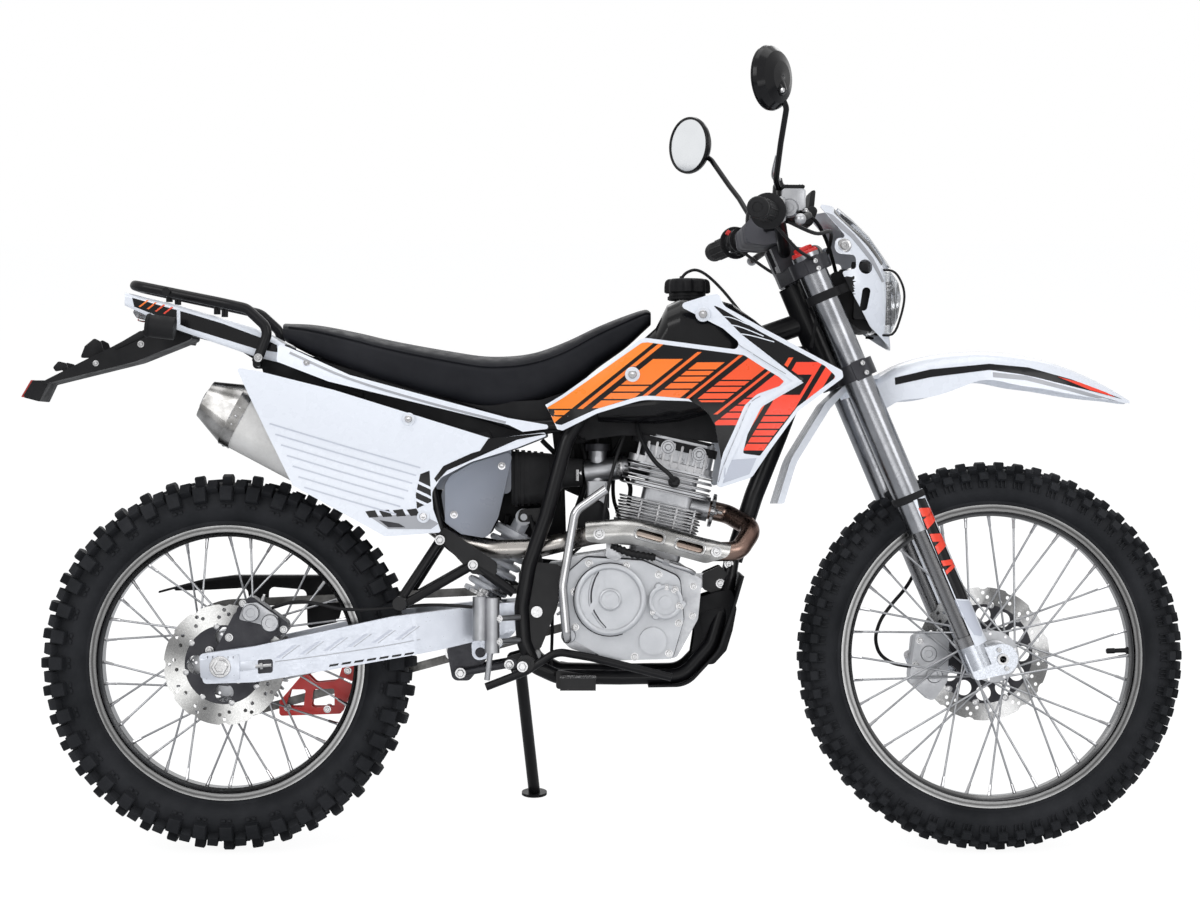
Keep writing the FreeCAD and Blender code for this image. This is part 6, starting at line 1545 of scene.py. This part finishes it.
def add_lever(silver, black, steel, side):
    """A lever's ball, pivot and boot, and the switch housing beside it."""
    silver.lathe([(-9.5, 0.1), (-8.6, 4.2), (-6, 7.6), (-2, 9.4), (2, 9.4), (6, 7.6), (8.6, 4.2),
                  (9.5, 0.1)], (978, side * 392, 1092), (0, side, 0), 22)
    steel.hexagon(on_bar(196, side, (54, 0, 3)), UP, 5.2, 5)
    black.lathe([(0, 9), (3, 10), (12, 9.4), (20, 7.6), (30, 6.6), (33, 4)],
                on_bar(196, side, (40, side * -14, -6)), (-0.45, -side, -0.05), 18)
    for back in (150, 136):
        black.collar([(-1.6, 23.6), (-1.6, 24.6), (1.6, 24.6), (1.6, 23.6)], on_bar(back, side),
                     along_bar(side), 30)
    for x, lean in ((-15, -0.15), (16, 0.15)):
        steel.lathe([(0, 3.6), (2.2, 3.4), (2.8, 2.4), (2.8, 0.1)], on_bar(142, side, (x, 0, -19)),
                    (lean, 0, -1), 12)
    for k in range(4):
        a = math.radians(200 + 32 * k)
        black.block(on_bar(150, side, (24 * math.cos(a), 0, 24 * math.sin(a))), (7, 9, 7), 1.6)


def make_bar_fittings():
    silver = Shape(ALLOY, ON_BARS)
    black = Shape(MOULDED, ON_BARS)
    steel = Shape(STEEL, ON_BARS)
    add_reservoir(silver, black, steel)
    for side in SIDES:
        add_lever(silver, black, steel, side)
        for x, z in ((976, 1096), (1004, 1080.6)):
            steel.bolt((x, side * 42, z), (0.38, 0, 0.92), 5.2)
    silver.done("master_cylinder")
    black.done("bar_housings")
    steel.done("bar_bolts")
    red = Shape(RED_PART, ON_BARS)
    red.prism([(-6, -4, 2), (-6, 5, 2), (6, 5, 2), (6, -4, 2)], -7, 7, 1.4,
              shifted(*on_bar(146, 1, (-20, 0, 14))) @ Matrix.Rotation(0.6, 4, "Y"))
    red.prism([(-5, -3, 2), (-5, 4, 2), (5, 4, 2), (5, -3, 2)], -6, 6, 1.2,
              shifted(*on_bar(146, -1, (-18, 0, 17))) @ Matrix.Rotation(0.8, 4, "Y"))
    red.done("bar_switches", "black_plastic")


def make_bar_pad():
    pad = Shape(PAD, ON_BARS)
    pad.prism(PAD_OUTLINE, -84, 84, 6, PAD_SPOT, 5, 3)
    for y in (-58, 58):
        pad.prism([(x * 1.02, z * 1.02, 8) for x, z, _ in PAD_OUTLINE], y - 3, y + 3, 1.0, PAD_SPOT)
    pad.done("bar_pad_cover", replaces=("bar_pad",))


def make_mirrors():
    """Glass, rim and stalk foot of both mirrors, and the right one's bright lower stalk."""
    glass = Shape(MIRROR, ON_BARS)
    black = Shape(BLACK, ON_BARS)
    bright = Shape(CHROME, ON_BARS)
    for side, centre in ((-1, (938, -352, 1333)), (1, (860, 361, 1311))):
        place = shifted(*centre) @ Matrix.Rotation(math.radians(38 * side), 4, "Z")
        turn = place.to_3x3()
        back = turn @ Vector((-1, 0, 0))
        spot = place @ Vector((-9.6, 0, 0))
        glass.lathe([(-0.6, 0.1), (-0.6, 49.0), (0.6, 49.6), (0.9, 48.8), (0.9, 0.1)], spot, back, 56)
        black.collar([(-2, 54.8), (1.4, 54.2), (2.2, 52.8), (2.2, 50.4), (0.6, 49.8), (-2, 49.8)],
                     spot, back, 56)
        black.lathe([(-2, 15), (8, 13), (16, 10), (20, 8), (22, 4), (22, 0.1)],
                    place @ Vector((6, 0, -12)), turn @ Vector((0.62, 0, -0.78)), 24)
        bright.lathe([(0, 4.6), (2.4, 4.4), (3, 3.2), (3, 0.1)], place @ Vector((22, -7, -24)),
                     turn @ Vector((0.2, -1, 0)), 12)
        foot = on_bar(160, side, (16, -20 * side, 24))
        black.lathe([(0, 11), (10, 11.4), (22, 10.4), (30, 7), (36, 5.8)], foot, UP, 22)
        bright.lathe([(-1, 9.8), (4, 9.8), (4, 6)], foot, UP, 6)
    bright.tube([on_bar(160, -1, (16, 20, 56)), (950, -256, 1182), (954, -284, 1212)], 5.6, 14, 5)
    glass.done("mirror_glass")
    black.done("mirror_shells")
    bright.done("mirror_screws")


LEG_AHEAD = 28  # from the steering axis forward to the fork's legs


def make_fork_trim():
    red = Shape(RED_PART, ON_FORK)
    steel = Shape(STEEL, ON_FORK)
    split = Shape(DARK, ON_FORK)
    seal = Shape(RUBBER, ON_FORK)
    for side in SIDES:
        y = FORK_HALF * side
        top = (LEG_AHEAD, y, 788)
        red.lathe([(-2, 24), (4, 24), (5.5, 22.6), (5.5, 15)], top, UP, 40)
        red.lathe([(5, 17), (13, 17), (14.5, 15), (14.5, 8), (12, 7), (12, 0.1)], top, UP, 6)
        for a, b in circle(10, 20.6):
            red.lathe([(4, 2.2), (7.4, 2.0), (7.4, 0.1)], (LEG_AHEAD + a, y + b, 788), UP, 8)
        for x, out, z in ((40, 39, 556), (40, 39, 574), (34, 38, 756), (34, 38, 770)):
            steel.bolt((x, y + side * out, z), (0.1, side, 0), 4.4, False)
        for x, out, low, high in ((34, 39.5, 548, 582), (30, 38.5, 752, 780)):
            split.prism([(x - 14, low, 3), (x - 14, high, 3), (x + 14, high, 3), (x + 14, low, 3)],
                        y + side * 33, y + side * out, 2)
        seal.collar([(0, 22), (0, 29.4), (-5, 30.2), (-12, 29.6), (-14, 26), (-14, 22)],
                    (LEG_AHEAD, y, 330), UP, 40)
        steel.bolt((50, y - side * 2, 26), (0.2, -side, 0), 4.0, False)
    steel.lathe([(0, 20), (3, 20), (4, 17), (14, 16.4), (15.5, 14), (15.5, 7), (9, 6.4), (9, 0.1)],
                (0, 0, 778), UP, 6)
    for z in (-17.6, 17.6):
        steel.bolt((FORK_OFFSET, -126, z), RIGHT, 4.2, False)
    red.done("fork_caps")
    steel.done("fork_bolts")
    split.done("clamp_splits")
    seal.done("dust_seals")


def make_visor():
    """A dark strip over the lamp, bowed forward and up in its middle."""
    visor = Shape(SMOKE, ON_BARS)
    rings = []
    for x, z, half in ((1086, 1146, 26), (1112, 1124, 34), (1142, 1094, 38), (1166, 1060, 36),
                       (1180, 1040, 32)):
        rings.append(visor.ring((x + 3 + 4 * math.sin(k * math.pi / 8), half * (k / 4 - 1),
                                 z + 7 * math.sin(k * math.pi / 8)) for k in range(9)))
    visor.skin(rings, around=False, caps=False)
    visor.done("visor_strip")


def make_lamp():
    """Reflector and bulb, the surround's edges, the housing behind and the mask's bolts."""
    bowl = Shape(CHROME, ON_BARS)
    bowl.collar([(-30, 8), (-22, 24), (-8, 36), (2, 42), (3, 42), (-8, 35), (-22, 23), (-30, 7)],
                (1178, 0, 980), FORWARD, 40)
    bowl.lathe([(-26, 7), (-12, 7), (-6, 5.4), (-2, 2.6), (-1, 0.1)], (1178, 0, 980), FORWARD, 20)
    bowl.done("lamp_reflector")
    rim = Shape(MOULDED, ON_BARS)
    bolts = Shape(STEEL, ON_BARS)
    surface = surface_of("headlight_mask", ON_BARS)
    for side in SIDES:
        rim.tube([(x, side * 51, z) for x, z in ((1150, 1036), (1183, 1036), (1199, 1017), (1205, 990),
                                                 (1198, 954), (1183, 923), (1150, 923))], 2.2, 8, 4)
        out = Vector((0, side, 0))
        spot = meet(surface, 1091, 1076, side)
        bolts.lathe([(-1, 12.75), (1, 12.75), (2, 11.25), (2.2, 7.5)], spot, out, 26)
        bolts.bolt(spot + out, out, 7.5, False)
    rim.done("lamp_surround")
    bolts.done("mask_bolts")
    house = Shape(MOULDED, ON_BARS)
    house.prism([(1064, 1012, 10), (1078, 1034, 8), (1148, 1034, 8), (1148, 927, 8), (1124, 930, 20),
                 (1086, 962, 20)], -60, 60, 6, None, 4, 3)
    house.prism([(1110, 948, 3), (1112, 1012, 3), (1146, 1012, 3), (1142, 948, 3)], -76, 76, 2)
    house.done("lamp_housing")


def make_instrument():
    black = Shape(RUBBER, ON_BARS)
    for side in SIDES:
        black.tube([(1108, side * 78, 1040), (1136, side * 88, 1040)], 9.5, 18)
    black.prism([(1036, 1148, 5), (1040, 1180, 5), (1049, 1182, 4), (1046, 1150, 5)], -34, 34, 1.5)
    black.prism([(1016, 1128, 8), (1040, 1154, 6), (1052, 1146, 6), (1040, 1112, 10)], -44, 44, 4)
    black.done("instrument", "black_plastic")


def make_cables():
    shape = Shape(HOSE, ON_BARS)
    shape.tubes([
        (3.4, 10, 7, [on_bar(180, -1, (26, 6, -14)), (1030, -176, 1090), (1062, -128, 1098),
                      (1070, -60, 1080), (1056, -40, 1034), (1048, -42, 985)]),
        (3.4, 10, 7, [on_bar(180, 1, (44, -10, -6)), (1046, 180, 1096), (1070, 120, 1094),
                      (1072, 62, 1070), (1056, 44, 1030), (1048, 42, 980)]),
        (3.0, 10, 7, [on_bar(170, -1, (8, 8, -22)), (998, -190, 1060), (1040, -120, 1044),
                      (1058, -70, 1020), (1050, -44, 960), (1040, -36, 900)]),
        (3.0, 10, 7, [on_bar(150, 1, (0, -14, -20)), (1000, 190, 1050), (1040, 110, 1030),
                      (1056, 66, 1000), (1048, 46, 950), (1040, 40, 905)]),
        (5.0, 10, 7, [(1100, -40, 1030), (1090, -36, 1010), (1084, -32, 960), (1088, -28, 912)]),
        (4.4, 10, 7, [(1100, 40, 1010), (1088, 36, 990), (1084, 30, 950), (1088, 26, 912)])])
    for x, z in ((1054, 1022), (1049, 994)):
        shape.collar([(-3, 3), (-3, 7), (3, 7), (3, 3)], (x, -41, z), (0.2, 0.1, 1), 14)
    shape.done("bar_cables")
    fixed = Shape(HOSE)
    fixed.tubes([
        (3.6, 10, 6, [(968, 34, 925), (930, 32, 905), (880, 34, 874), (820, 34, 842), (760, 38, 812),
                      (716, 40, 784)]),
        (3.6, 10, 6, [(962, -32, 920), (930, -32, 900), (880, -34, 868), (840, -38, 838),
                      (806, -46, 806), (790, -56, 780)]),
        (3.0, 10, 6, [(960, -40, 880), (930, -56, 846), (905, -66, 800), (902, -62, 740),
                      (912, -44, 690)])])
    fixed.done("frame_cables")


# ------------------------------------------------------------------ all of it
bpy.context.scene.view_settings.view_transform = "Standard"
make_world()
make_floor()
make_lamps()
make_camera()
dress_nodes()
dress_parts()

for make in (make_wheels, make_disc_trim, make_hub_rings, make_swingarm_trim, make_caliper_trim,
             make_seat, make_shroud_print, make_side_print, make_tail_print, make_fork_print,
             make_fender_print, make_swingarm_print, make_mask_print, make_cover_bolts,
             make_cover_rings, make_gaskets_and_shade_lines, make_engine_hoses, make_head_fittings,
             make_pipe_fittings, make_silencer_trim, make_fins, make_engine_guards, make_left_side,
             make_frame_trim, make_inner_covers, make_electrics, make_breather_hose, make_fuel_cap,
             make_tail_trim, make_grips, make_bar_fittings, make_bar_pad, make_mirrors,
             make_fork_trim, make_visor, make_lamp, make_instrument, make_cables):
    make()
